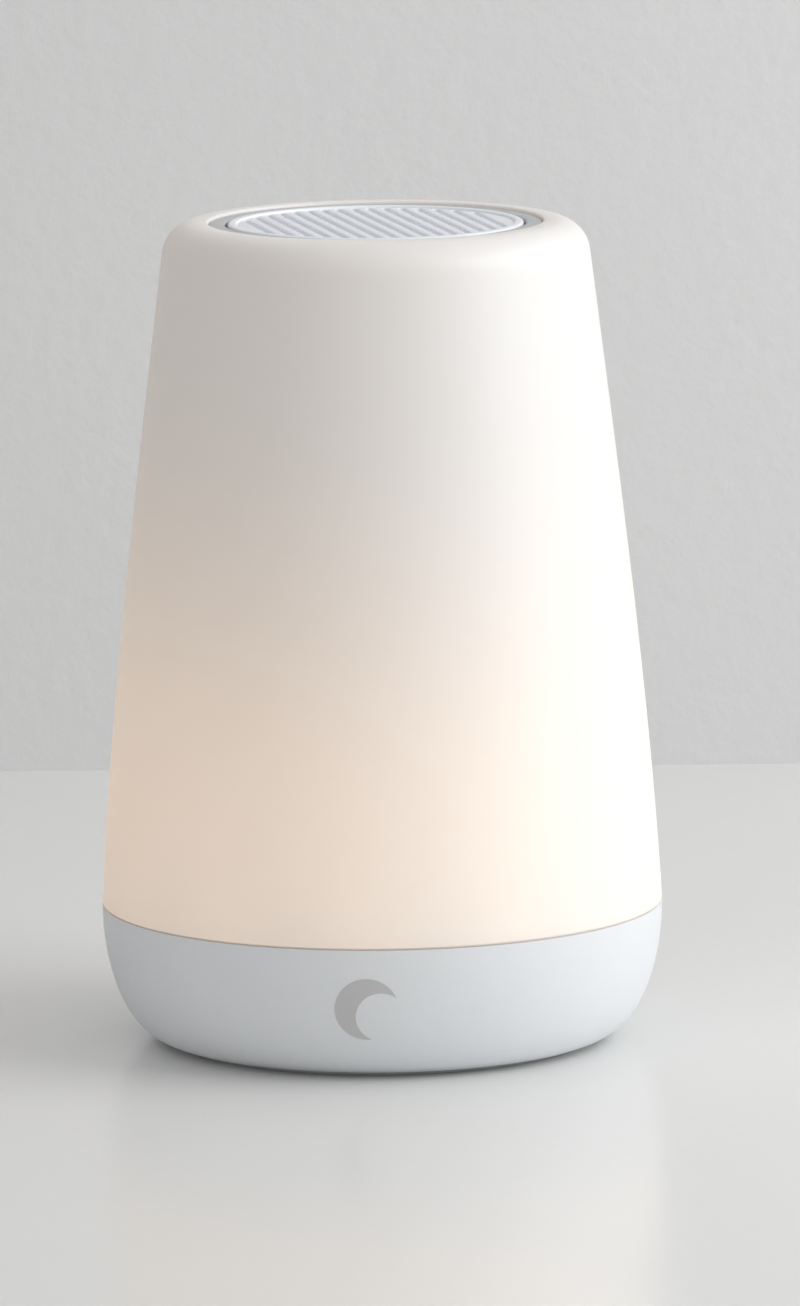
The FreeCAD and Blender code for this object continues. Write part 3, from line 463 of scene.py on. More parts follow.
@dataclass(frozen=True)
class WovenFinish(Finish):
    """Cloth with a plain weave.

    Attributes:
        threads: Threads per metre.
        gap: Colour of the gaps between threads.
        grain_share: How strong the grain is beside the threads.
    """

    threads: float = 2200.0
    gap: Colour = (0.48, 0.48, 0.50)
    grain_share: float = 0.2

    def weave(self, graph: Graph) -> bpy.types.Node:
        """Places the weave in the material."""
        return WEAVE.place(graph, Threads_per_Metre=self.threads)

    def tint(self, graph: Graph, colour: bpy.types.NodeSocket) -> bpy.types.NodeSocket:
        """Darkens the gaps between the threads."""
        return graph.mix(self.weave(graph).outputs["Thread"], self.gap, colour)

    def height(self, graph: Graph, grain: bpy.types.NodeSocket) -> bpy.types.NodeSocket:
        """Raises the threads."""
        return graph.plus(self.weave(graph).outputs["Height"], graph.times(grain, self.grain_share))


@dataclass(frozen=True)
class BoardFinish(Finish):
    """Solder mask over copper tracks.

    Attributes:
        track: Colour of the mask above a track.
        pitch: Tracks per metre.
        blocks: Blocks per metre.
        edge: Levels between which a track's edge lies.
        grain_share: How strong the grain is beside the tracks.
    """

    track: Colour = (0.03, 0.20, 0.10)
    pitch: float = 420.0
    blocks: float = 90.0
    edge: tuple[float, float] = (0.45, 0.65)
    grain_share: float = 0.15

    def tracks(self, graph: Graph) -> bpy.types.NodeSocket:
        """Draws straight tracks that turn at blocks.

        Args:
            graph: The material's graph.

        Returns:
            Their mask.
        """
        place = graph.place()
        split = graph.node("SeparateXYZ", place)
        cell = graph.node("TexVoronoi", place, distance="CHEBYCHEV")
        cell.inputs["Scale"].default_value = self.blocks
        shade = graph.node("SeparateXYZ", cell.outputs["Color"]).outputs[0]
        pick = graph.math("GREATER_THAN", shade, 0.5)
        along = graph.plus(graph.times(split.outputs[0], pick),
                           graph.times(split.outputs[1], graph.math("SUBTRACT", 1.0, pick)))
        wave = graph.math("SINE", graph.times(along, self.pitch * 2 * math.pi))
        return graph.span(wave, *self.edge)

    def tint(self, graph: Graph, colour: bpy.types.NodeSocket) -> bpy.types.NodeSocket:
        """Colours the tracks."""
        return graph.mix(self.tracks(graph), colour, self.track)

    def height(self, graph: Graph, grain: bpy.types.NodeSocket) -> bpy.types.NodeSocket:
        """Raises the tracks."""
        return graph.plus(graph.times(grain, self.grain_share), self.tracks(graph))


@dataclass(frozen=True)
class SpunFinish(Finish):
    """Turned metal or paper, with fine rings about the Z axis.

    Attributes:
        rings: How close the rings are, in radians per metre of radius.
        share: How strong the rings are beside the grain.
    """

    rings: float = 3600.0
    share: float = 0.8

    def height(self, graph: Graph, grain: bpy.types.NodeSocket) -> bpy.types.NodeSocket:
        """Adds the rings to the relief.

        Args:
            graph: The material's graph.
            grain: Relief of the grain.

        Returns:
            The relief with the rings.
        """
        radius, _, _ = graph.polar(graph.place())
        ring = graph.math("SINE", graph.times(radius, self.rings))
        return graph.plus(graph.times(ring, self.share / 2), grain)


@dataclass(frozen=True)
class GlowFinish(Finish):
    """Frosted shade, lit from below by a ring of lamps.

    Attributes:
        foot: Height of the shade's foot, in metres.
        crown: Height where the glow has faded, in metres.
        lamps: Number of lamps.
        low_glow: Colour of the glow at the foot.
        high_glow: Colour of the glow at the crown.
        strength: Strength of the glow.
        levels: Share of the height, and share of the full glow there.
        ripple_top: Share of the height where the lamps' separate pools have merged.
        ripple: How far the glow rises and falls from lamp to lamp, at the foot.
    """

    foot: float = 0.026
    crown: float = 0.158
    lamps: int = 12
    low_glow: Colour = (1.0, 0.60, 0.27)
    high_glow: Colour = (1.0, 0.47, 0.08)
    strength: float = 0.3
    levels: tuple[tuple[float, float], ...] = (
        (0.0, 0.80), (0.05, 0.94), (0.14, 1.0), (0.28, 0.92),
        (0.44, 0.62), (0.60, 0.38), (0.74, 0.24), (1.0, 0.22),
    )
    ripple_top: float = 0.16
    ripple: float = 0.05

    def dress(self, graph: Graph, shader: bpy.types.Node) -> None:
        """Connects the plain finish, and then the glow.

        Args:
            graph: The material's graph.
            shader: Its shader node.
        """
        super().dress(graph, shader)
        _, angle, height = graph.polar(graph.place())
        reach = graph.node("MapRange", height, self.foot, self.crown, 0.0, 1.0, interpolation_type="LINEAR")
        share = reach.outputs[0]
        ramp = graph.node("ValToRGB", share)
        stops = ramp.color_ramp
        stops.interpolation = "B_SPLINE"
        while len(stops.elements) < len(self.levels):
            stops.elements.new(0.5)
        for stop, (place, level) in zip(stops.elements, self.levels):
            stop.position = place
            stop.color = (level, level, level, 1.0)
        pools = graph.math("COSINE", graph.times(angle, float(self.lamps)))
        near = graph.span(share, self.ripple_top, 0.0, 0.0, self.ripple)
        level = graph.times(ramp.outputs[0], graph.plus(1.0, graph.times(pools, near)))
        tint = graph.mix(share, self.low_glow, self.high_glow)
        lit = graph.node("VectorMath", tint, operation="SCALE")
        graph.feed(level, lit.inputs["Scale"])
        graph.feed(lit.outputs[0], shader.inputs["Emission Color"])
        shader.inputs["Emission Strength"].default_value = self.strength


SHADE = GlowFinish("frosted_shade_finish", "frosted_shade", (0.775, 0.785, 0.79), 0.42, variation=0.15,
                   second=-0.03, spread=0.04, grain=2600.0, relief=0.000012, wear=0.0, subsurface=0.25,
                   strength=0.285)
BASE = Finish("base_plastic_finish", "base_plastic", (0.80, 0.825, 0.85), 0.45, variation=0.25,
              second=-0.03, spread=0.05, grain=3200.0, relief=0.000018, wear=0.12, rubbed=0.15,
              subsurface=0.05)
KEY = Finish("key_plastic_finish", "key_plastic", (0.75, 0.775, 0.80), 0.40, variation=0.25, second=-0.04,
             spread=0.06, grain=3200.0, relief=0.000015, wear=0.2, rubbed=0.2)
INK = Finish("grey_ink_finish", "base_plastic", (0.56, 0.56, 0.565), 0.55, variation=0.4, second=0.08,
             spread=0.1, grain=2400.0, relief=0.000006, wear=0.0)
RING = SpunFinish("satin_ring_finish", "satin_ring", (0.50, 0.51, 0.53), 0.36, variation=0.3,
                  second=-0.08, spread=0.06, relief=0.000008, wear=0.25, rubbed=0.3)
GRILLE = Finish("grille_plastic_finish", "grille_plastic", (0.87, 0.89, 0.93), 0.42, variation=0.2,
                second=-0.04, spread=0.05, grain=3200.0, relief=0.000014, wear=0.15, rubbed=0.2)
SCRIM = WovenFinish("scrim_cloth_finish", "scrim_cloth", (0.90, 0.91, 0.94), 0.85, relief=0.00008, wear=0.0)
FOOT = Finish("foot_silicone_finish", "foot_silicone", (0.56, 0.57, 0.57), 0.6, variation=0.6, second=-0.12,
              grain=1500.0, relief=0.00003, wear=0.3, rubbed=0.12)
SEAM = Finish("seam_silicone_finish", "seam_silicone", (0.88, 0.88, 0.875), 0.7, variation=0.5,
              second=-0.05, grain=2400.0, relief=0.00003, wear=0.0)
SEAL = Finish("seal_foam_finish", "seal_foam", (0.06, 0.06, 0.065), 0.85, variation=0.6, second=0.2,
              grain=2400.0, relief=0.00005, wear=0.0)
INNER = Finish("white_inner_finish", "white_inner_plastic", (0.82, 0.82, 0.80), 0.5, variation=0.3)
WHITE_BOARD = BoardFinish("white_board_finish", "white_circuit_board", (0.80, 0.81, 0.79), 0.4,
                          track=(0.72, 0.73, 0.70))
BOARD = BoardFinish("green_board_finish", "circuit_board", (0.02, 0.12, 0.055), 0.35)
BLACK = Finish("black_plastic_finish", "black_plastic", (0.022, 0.022, 0.024), 0.42, second=0.05,
               rubbed=0.18)
NYLON = Finish("nylon_socket_finish", "nylon_socket", (0.72, 0.68, 0.58), 0.45, subsurface=0.05)
CAN = Finish("shield_can_finish", "shield_can", (0.62, 0.63, 0.64), 0.32, metallic=1.0, relief=0.000008,
             rubbed=0.3)
CAPACITOR = SpunFinish("capacitor_can_finish", "capacitor_can", (0.66, 0.67, 0.68), 0.3, metallic=1.0,
                       relief=0.000008)
FERRITE = Finish("ferrite_finish", "ferrite", (0.045, 0.045, 0.05), 0.6, second=0.1, grain=2600.0,
                 relief=0.00004, rubbed=0.25)
CERAMIC = Finish("lamp_ceramic_finish", "lamp_ceramic", (0.85, 0.85, 0.82), 0.5)
LENS = Finish("lamp_lens_finish", "lamp_lens", (0.98, 0.90, 0.72), 0.08, wear=0.0, transmission=0.9,
              spread=0.03, relief=0.000002)
BASKET = Finish("basket_steel_finish", "basket_steel", (0.03, 0.03, 0.033), 0.45, coat=0.2, rubbed=0.4)
STEEL = SpunFinish("plated_steel_finish", "plated_steel", (0.55, 0.55, 0.53), 0.35, metallic=1.0,
                   rubbed=0.4)
SCREW = Finish("zinc_screw_finish", "zinc_screw", (0.56, 0.56, 0.55), 0.33, metallic=1.0, wear=0.7,
               rubbed=0.4)
NICKEL = Finish("nickel_contact_finish", "nickel_contact", (0.66, 0.63, 0.57), 0.22, metallic=1.0,
                relief=0.000004)
PAPER = SpunFinish("cone_paper_finish", "cone_paper", (0.035, 0.035, 0.038), 0.8, second=0.06, grain=1200.0,
                   relief=0.00008, rings=2400.0)
DUST_CAP = WovenFinish("dust_cap_finish", "dust_cap_cloth", (0.05, 0.05, 0.055), 0.7, threads=1600.0,
                       gap=(0.01, 0.01, 0.01), relief=0.00005, wear=0.0)
SURROUND = Finish("surround_rubber_finish", "surround_rubber", (0.022, 0.022, 0.022), 0.55, second=0.05,
                  rubbed=0.08)
FORMER = SpunFinish("coil_former_finish", "coil_former", (0.72, 0.73, 0.74), 0.28, metallic=1.0)
COPPER = SpunFinish("copper_winding_finish", "copper_winding", (0.58, 0.24, 0.11), 0.3, metallic=1.0,
                    rings=0.0, coat=0.3)
SPIDER = WovenFinish("spider_cloth_finish", "spider_cloth", (0.55, 0.36, 0.12), 0.75, threads=1400.0,
                     gap=(0.16, 0.09, 0.03), relief=0.00006, wear=0.0)
RED_LEAD = Finish("red_lead_finish", "red_lead", (0.42, 0.02, 0.015), 0.4, rubbed=0.1)
BLACK_LEAD = Finish("black_lead_finish", "black_lead", (0.02, 0.02, 0.02), 0.4, rubbed=0.1)
WHITE_LEAD = Finish("white_lead_finish", "white_lead", (0.74, 0.74, 0.72), 0.4, rubbed=0.1)

NODE_FINISHES: dict[str, Finish] = {
    "shade": SHADE, "base_shell": BASE, "touch_ring": RING, "grille": GRILLE, "grille_scrim": SCRIM,
    "foot_ring": FOOT, "light_seal": SEAM,
    "light_down_key": KEY, "light_up_key": KEY, "sound_down_key": KEY, "sound_up_key": KEY,
    "light_down_stem": BLACK, "light_up_stem": BLACK, "sound_down_stem": BLACK, "sound_up_stem": BLACK,
    "base_screws": SCREW, "board_screws": SCREW, "led_board_screws": SCREW, "column_screws": SCREW,
    "pod_screws": SCREW, "driver_screws": SCREW,
    "dc_jack": BLACK, "dc_jack_pin": NICKEL, "dc_jack_spring": NICKEL, "tact_switches": BLACK,
    "light_key_board": BOARD, "sound_key_board": BOARD, "main_board": BOARD, "led_board": WHITE_BOARD,
    "wireless_module": CAN, "amplifier_chip": BLACK, "capacitors": CAPACITOR, "power_inductor": FERRITE,
    "board_connectors": NYLON, "led_connector": NYLON,
    "light_tray": INNER, "column": INNER, "speaker_pod": INNER,
    "led_chips": CERAMIC, "led_lenses": LENS, "touch_contact": NICKEL,
    "driver_gasket": SEAL, "driver_basket": BASKET, "driver_terminals": NICKEL, "driver_surround": SURROUND,
    "driver_cone": PAPER, "dust_cap": DUST_CAP, "voice_coil": FORMER, "coil_winding": COPPER,
    "driver_spider": SPIDER, "driver_top_plate": STEEL, "driver_magnet": FERRITE, "driver_yoke": STEEL,
    "speaker_lead_red": RED_LEAD, "speaker_lead_black": BLACK_LEAD, "lamp_lead": WHITE_LEAD,
    "touch_lead": WHITE_LEAD,
}


# ---- Stage ----

@dataclass(frozen=True)
class SoftLight:
    """Square soft box.

    Attributes:
        name: Name of the light.
        azimuth: Side that it stands on, in degrees, 0 in front and 90 to the right.
        elevation: How high it stands, in degrees.
        distance: Distance from the object, in metres.
        size: Side of the square, in metres.
        power: Power in watts.
        colour: Colour of the light.
    """

    name: str
    azimuth: float
    elevation: float
    distance: float
    size: float
    power: float
    colour: Colour = (1.0, 1.0, 1.0)

    def build(self, target: Vector) -> None:
        """Hangs the light and aims it.

        Args:
            target: Point that it faces.
        """
        data = bpy.data.lights.new(self.name, "AREA")
        data.shape = "SQUARE"
        data.size = self.size
        data.energy = self.power
        data.color = self.colour
        lamp = bpy.data.objects.new(self.name, data)
        bpy.context.scene.collection.objects.link(lamp)
        side, up = math.radians(self.azimuth), math.radians(self.elevation)
        way = Vector((math.sin(side) * math.cos(up), -math.cos(side) * math.cos(up), math.sin(up)))
        lamp.location = target + way * self.distance
        lamp.rotation_euler = way.to_track_quat("Z", "Y").to_euler()


@dataclass
class Studio:
    """Pale floor and backdrop, soft light and the camera.

    Attributes:
        azimuth: Side that the camera stands on, in degrees to the right of the front.
        camera_distance: Distance from the object's axis along the floor, in metres.
        camera_height: Height above the floor, in metres.
        pitch: How far the camera looks down, in degrees.
        yaw: How far it looks to the right of the axis, in degrees.
        roll: How far it leans to the right, in degrees.
        focal_heights: Focal length, in picture heights.
        backdrop_distance: How far the backdrop stands behind the axis, in metres.
        floor_size: Side of the floor and of the backdrop, in metres.
        floor_colour: Colour of the floor.
        backdrop_colour: Colour of the backdrop.
        sky: Colour of the room's even light.
        sky_strength: Its strength.
        aim: Height that the soft boxes face, in metres.
        view_depth: How far the camera sees, in metres.
        lights: The soft boxes.
    """

    azimuth: float = 3.4
    camera_distance: float = 1.9245
    camera_height: float = 0.3797
    pitch: float = 9.015
    yaw: float = 0.115
    roll: float = 0.545
    focal_heights: float = 7.774
    backdrop_distance: float = 0.306
    floor_size: float = 6.0
    floor_colour: Colour = (0.80, 0.80, 0.79)
    backdrop_colour: Colour = (0.73, 0.735, 0.735)
    sky: Colour = (1.0, 1.0, 1.0)
    sky_strength: float = 0.545
    aim: float = 0.08
    view_depth: float = 20.0
    lights: tuple[SoftLight, ...] = (
        SoftLight("window_light", 80.0, 28.0, 1.1, 0.9, 8.8, (0.985, 0.992, 1.0)),
        SoftLight("front_light", -30.0, 36.0, 1.8, 1.2, 1.3, (1.0, 0.94, 0.85)),
    )

    def build(self) -> None:
        """Builds the whole stage."""
        self.surfaces()
        self.sky_light()
        for light in self.lights:
            light.build(Vector((0.0, 0.0, self.aim)))
        self.camera()
        bpy.context.scene.view_settings.view_transform = "Standard"

    def plane(self, name: str, matrix: Matrix, finish: Finish) -> bpy.types.Object:
        """Makes a large square of the stage.

        Args:
            name: Name of the piece.
            matrix: Place of the square.
            finish: Its finish.

        Returns:
            The new object.
        """
        mesh = bmesh.new()
        bmesh.ops.create_grid(mesh, x_segments=1, y_segments=1, size=self.floor_size / 2, matrix=matrix)
        made = as_object(mesh, name, finish)
        return made

    def surfaces(self) -> None:
        """Lays the floor and stands the backdrop behind it; seen from behind, the backdrop is clear."""
        turn = Matrix.Rotation(math.radians(self.azimuth), 4, "Z")
        floor = Finish("floor_finish", "", self.floor_colour, 0.22, variation=0.2, relief=0.0, wear=0.0,
                       grain=300.0, spread=0.03)
        self.plane("floor", turn, floor)
        upright = (turn @ Matrix.Translation((0.0, self.backdrop_distance, 0.0))
                   @ Matrix.Rotation(math.pi / 2, 4, "X"))
        wall = Finish("backdrop_finish", "", self.backdrop_colour, 0.8, variation=0.2, relief=0.0002,
                      wear=0.0, grain=260.0)
        backdrop = self.plane("backdrop", upright, wall)
        tree = backdrop.data.materials[0].node_tree
        graph = Graph(tree)
        shader = tree.nodes["Principled BSDF"]
        facing = graph.node("NewGeometry").outputs["Backfacing"]
        clear = graph.node("BsdfTransparent")
        both = graph.node("MixShader", facing, shader.outputs[0], clear.outputs[0])
        graph.feed(both.outputs[0], tree.nodes["Material Output"].inputs["Surface"])

    def sky_light(self) -> None:
        """Sets the even light of the room."""
        world = bpy.data.worlds.new("room")
        world.use_nodes = True
        sky = world.node_tree.nodes["Background"]
        sky.inputs["Color"].default_value = (*self.sky, 1.0)
        sky.inputs["Strength"].default_value = self.sky_strength
        bpy.context.scene.world = world

    def camera(self) -> None:
        """Places the camera."""
        data = bpy.data.cameras.new("camera")
        data.lens = self.focal_heights * data.sensor_width
        data.clip_end = self.view_depth
        made = bpy.data.objects.new("camera", data)
        bpy.context.scene.collection.objects.link(made)
        side = math.radians(self.azimuth)
        place = Vector((math.sin(side), -math.cos(side), 0.0)) * self.camera_distance
        place.z = self.camera_height
        turn = (Matrix.Rotation(side - math.radians(self.yaw), 4, "Z")
                @ Matrix.Rotation(math.radians(90.0 - self.pitch), 4, "X")
                @ Matrix.Rotation(-math.radians(self.roll), 4, "Z"))
        made.matrix_world = Matrix.Translation(place) @ turn
        bpy.context.scene.camera = made


# ---- Meshes ----

LATHE_STEPS = 192
SHARP_ANGLE = math.radians(40.0)
WELD = 1e-7
SLIVER = 1e-8


def as_object(mesh: bmesh.types.BMesh, name: str, finish: Finish) -> bpy.types.Object:
    """Turns a finished bmesh into an object at the origin, with smooth faces and its material.

    Args:
        mesh: The bmesh, which is freed.
        name: Name of the object.
        finish: Its finish.

    Returns:
        The new object.
    """
    data = bpy.data.meshes.new(name)
    mesh.to_mesh(data)
    mesh.free()
    data.shade_smooth()
    data.set_sharp_from_angle(angle=SHARP_ANGLE)
    data.materials.append(finish.material())
    made = bpy.data.objects.new(name, data)
    bpy.context.scene.collection.objects.link(made)
    return made


def add_piece(mesh: bmesh.types.BMesh, name: str, body: str, finish: Finish, *nodes: str) -> bpy.types.Object:
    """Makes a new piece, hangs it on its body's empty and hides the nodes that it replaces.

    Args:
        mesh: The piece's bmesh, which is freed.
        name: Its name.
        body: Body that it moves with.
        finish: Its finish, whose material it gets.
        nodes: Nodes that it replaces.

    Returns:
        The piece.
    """
    piece = as_object(mesh, name, finish)
    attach(piece, body)
    if nodes:
        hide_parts(*nodes)
    LOG.info("%s: %d faces", piece.name, len(piece.data.polygons))
    return piece


def join(mesh: bmesh.types.BMesh, other: bmesh.types.BMesh) -> None:
    """Adds one bmesh to another.

    Args:
        mesh: The bmesh that grows.
        other: The one that is added, which is freed.
    """
    carrier = bpy.data.meshes.new("carrier")
    other.to_mesh(carrier)
    other.free()
    mesh.from_mesh(carrier)
    bpy.data.meshes.remove(carrier)


@cache
def box(node: str) -> tuple[Vector, Vector]:
    """Returns a node's lowest and highest corners."""
    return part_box(node)


def outer_radius(node: str) -> float:
    """Returns half of a round node's width."""
    low, high = box(node)
    return (high.x - low.x) / 2


def rounded(corners: Iterable[Corner], segments: int = 4) -> Outline:
    """Draws a closed outline whose corners are rounded.

    Args:
        corners: First and second coordinate of each corner, and the radius of its round, or 0.
        segments: Straight pieces in each round.

    Returns:
        The outline's points.
    """
    corners = list(corners)
    points: Outline = []
    for index, (across, up, turn) in enumerate(corners):
        here = Vector((across, up))
        if not turn:
            points.append((across, up))
            continue
        back = (Vector(corners[index - 1][:2]) - here).normalized()
        ahead = (Vector(corners[(index + 1) % len(corners)][:2]) - here).normalized()
        half = back.angle(ahead) / 2
        centre = here + (back + ahead).normalized() * turn / math.sin(half)
        first = here + back * turn / math.tan(half) - centre
        last = here + ahead * turn / math.tan(half) - centre
        points += [tuple(centre + turn * first.slerp(last, step / segments))
                   for step in range(segments + 1)]
    return points


def lathe(outline: Outline, steps: int = LATHE_STEPS) -> bmesh.types.BMesh:
    """Turns a closed outline about the Z axis.

    Args:
        outline: Radius and height of each point.
        steps: Faces round the turn.

    Returns:
        A closed bmesh with its faces outwards.
    """
    mesh = bmesh.new()
    verts = [mesh.verts.new((radius, 0.0, height)) for radius, height in outline]
    edges = [mesh.edges.new(pair) for pair in zip(verts, verts[1:] + verts[:1])]
    bmesh.ops.spin(mesh, geom=verts + edges, cent=(0, 0, 0), axis=(0, 0, 1), dvec=(0, 0, 0),
                   angle=2 * math.pi, steps=steps, use_merge=True)
    bmesh.ops.remove_doubles(mesh, verts=mesh.verts, dist=WELD)
    bmesh.ops.dissolve_degenerate(mesh, edges=mesh.edges, dist=SLIVER)
    bmesh.ops.recalc_face_normals(mesh, faces=mesh.faces)
    return mesh


# ---- Shade and its seal ----

@dataclass
class Shade:
    """Frosted shade: a long leaning side, a round shoulder and a stepped well in the top.

    Attributes:
        wall: Thickness.
        lean_foot: How far the side leans in per metre of height, at its foot.
        lean_top: And below the shoulder.
        shoulder: Radius of the shoulder.
        land: Flat land between the well and the shoulder.
        well: Radius of the well.
        well_depth: Depth of the step that the touch ring lies on.
        shelf: Thickness of that step.
        shelf_width: Its width.
        tongue_wall: Base rim outside the tongue, with its gap.
        foot: Height of the shade's lower edge.
        ease: Round on the well's lip.
        foot_ease: Round on the foot's outer edge.
        shelf_ease: Round on the step's inner edge.
        tongue_ease: Round on the tongue's edges.
        side_steps: Faces up the side.
        shoulder_steps: Faces round the shoulder.
    """

    wall: float = 2.6 * MM
    lean_foot: float = 0.057
    lean_top: float = 0.122
    shoulder: float = 6.6 * MM
    land: float = 2.3 * MM
    well: float = 32.0 * MM
    well_depth: float = 1.7 * MM
    shelf: float = 1.5 * MM
    shelf_width: float = 3.2 * MM
    tongue_wall: float = 1.45 * MM
    foot: float = 26.75 * MM
    ease: float = 0.45 * MM
    foot_ease: float = 0.25 * MM
    shelf_ease: float = 0.2 * MM
    tongue_ease: float = 0.3 * MM
    side_steps: int = 56
    shoulder_steps: int = 16

    def skin(self, inset: float) -> list[Corner]:
        """Draws the side and the shoulder, from the foot up.

        Args:
            inset: How far inside the outer surface.

        Returns:
            The points, without rounds.
        """
        top = box("shade")[1].z
        lean = math.atan(self.lean_top)
        centre = Vector((self.well + self.land, top - self.shoulder))
        radius = self.shoulder - inset
        last = centre + radius * Vector((math.cos(lean), math.sin(lean)))
        first = Vector((outer_radius("shade") - inset, self.foot))
        third = (last.y - first.y) / 3
        side = interpolate_bezier(first, first + third * Vector((-self.lean_foot, 1.0)),
                                  last + third * Vector((self.lean_top, -1.0)), last, self.side_steps)
        turns = [lean + (math.pi / 2 - lean) * step / self.shoulder_steps
                 for step in range(1, self.shoulder_steps + 1)]
        crown = [centre + radius * Vector((math.cos(turn), math.sin(turn))) for turn in turns]
        return [(point[0], point[1], 0.0) for point in [*side, *crown]]

    def build(self) -> bpy.types.Object:
        """Builds the shade.

        Returns:
            The shade.
        """
        low, high = box("shade")
        radius = outer_radius("shade")
        outside = self.skin(0.0)
        outside[0] = (outside[0][0], outside[0][1], self.foot_ease)
        inside = self.skin(self.wall)
        step = high.z - self.well_depth
        lower = step - self.shelf
        shelf = self.well - self.shelf_width
        well = [(self.well, high.z, self.ease), (self.well, step, 0.0), (shelf, step, self.shelf_ease),
                (shelf, lower, 0.0), (inside[-1][0], lower, 0.0)]
        tongue = [(radius - self.wall, low.z, self.tongue_ease),
                  (radius - self.tongue_wall, low.z, self.tongue_ease),
                  (radius - self.tongue_wall, self.foot, 0.0)]
        mesh = lathe(rounded([*outside, *well, *reversed(inside), *tongue]))
        return add_piece(mesh, "shade_shell", "housing", SHADE, "shade")


@dataclass
class LightSeal:
    """Thin gasket in the seam between base and shade.

    Attributes:
        width: Width of the ring.
        ease_share: Round on its outer edges, as a share of its height.
    """

    width: float = 0.7 * MM
    ease_share: float = 0.4

    def build(self) -> bpy.types.Object:
        """Builds the seal.

        Returns:
            The seal.
        """
        low, high = box("light_seal")
        outer = outer_radius("light_seal")
        ease = (high.z - low.z) * self.ease_share
        mesh = lathe(rounded([(outer - self.width, low.z, 0.0), (outer, low.z, ease), (outer, high.z, ease),
                              (outer - self.width, high.z, 0.0)]))
        return add_piece(mesh, "seam_seal", "housing", SEAM, "light_seal")


# ---- Touch ring, grille and scrim ----

FULL_ROUND = 0.999


@dataclass
class TouchRing:
    """Satin ring that senses a finger.

    Attributes:
        width: Width of the ring.
        ease: Round on its upper edges.
        lower_ease: Round on its lower edges.
        segments: Faces in each round.
    """

    width: float = 2.9 * MM
    ease: float = 0.36 * MM
    lower_ease: float = 0.1 * MM
    segments: int = 6

    def build(self) -> bpy.types.Object:
        """Builds the ring.

        Returns:
            The ring.
        """
        low, high = box("touch_ring")
        outer = outer_radius("touch_ring")
        inner = outer - self.width
        mesh = lathe(rounded([(inner, low.z, self.lower_ease), (outer, low.z, self.lower_ease),
                              (outer, high.z, self.ease), (inner, high.z, self.ease)], self.segments))
        return add_piece(mesh, "touch_ring_band", "housing", RING, "touch_ring")


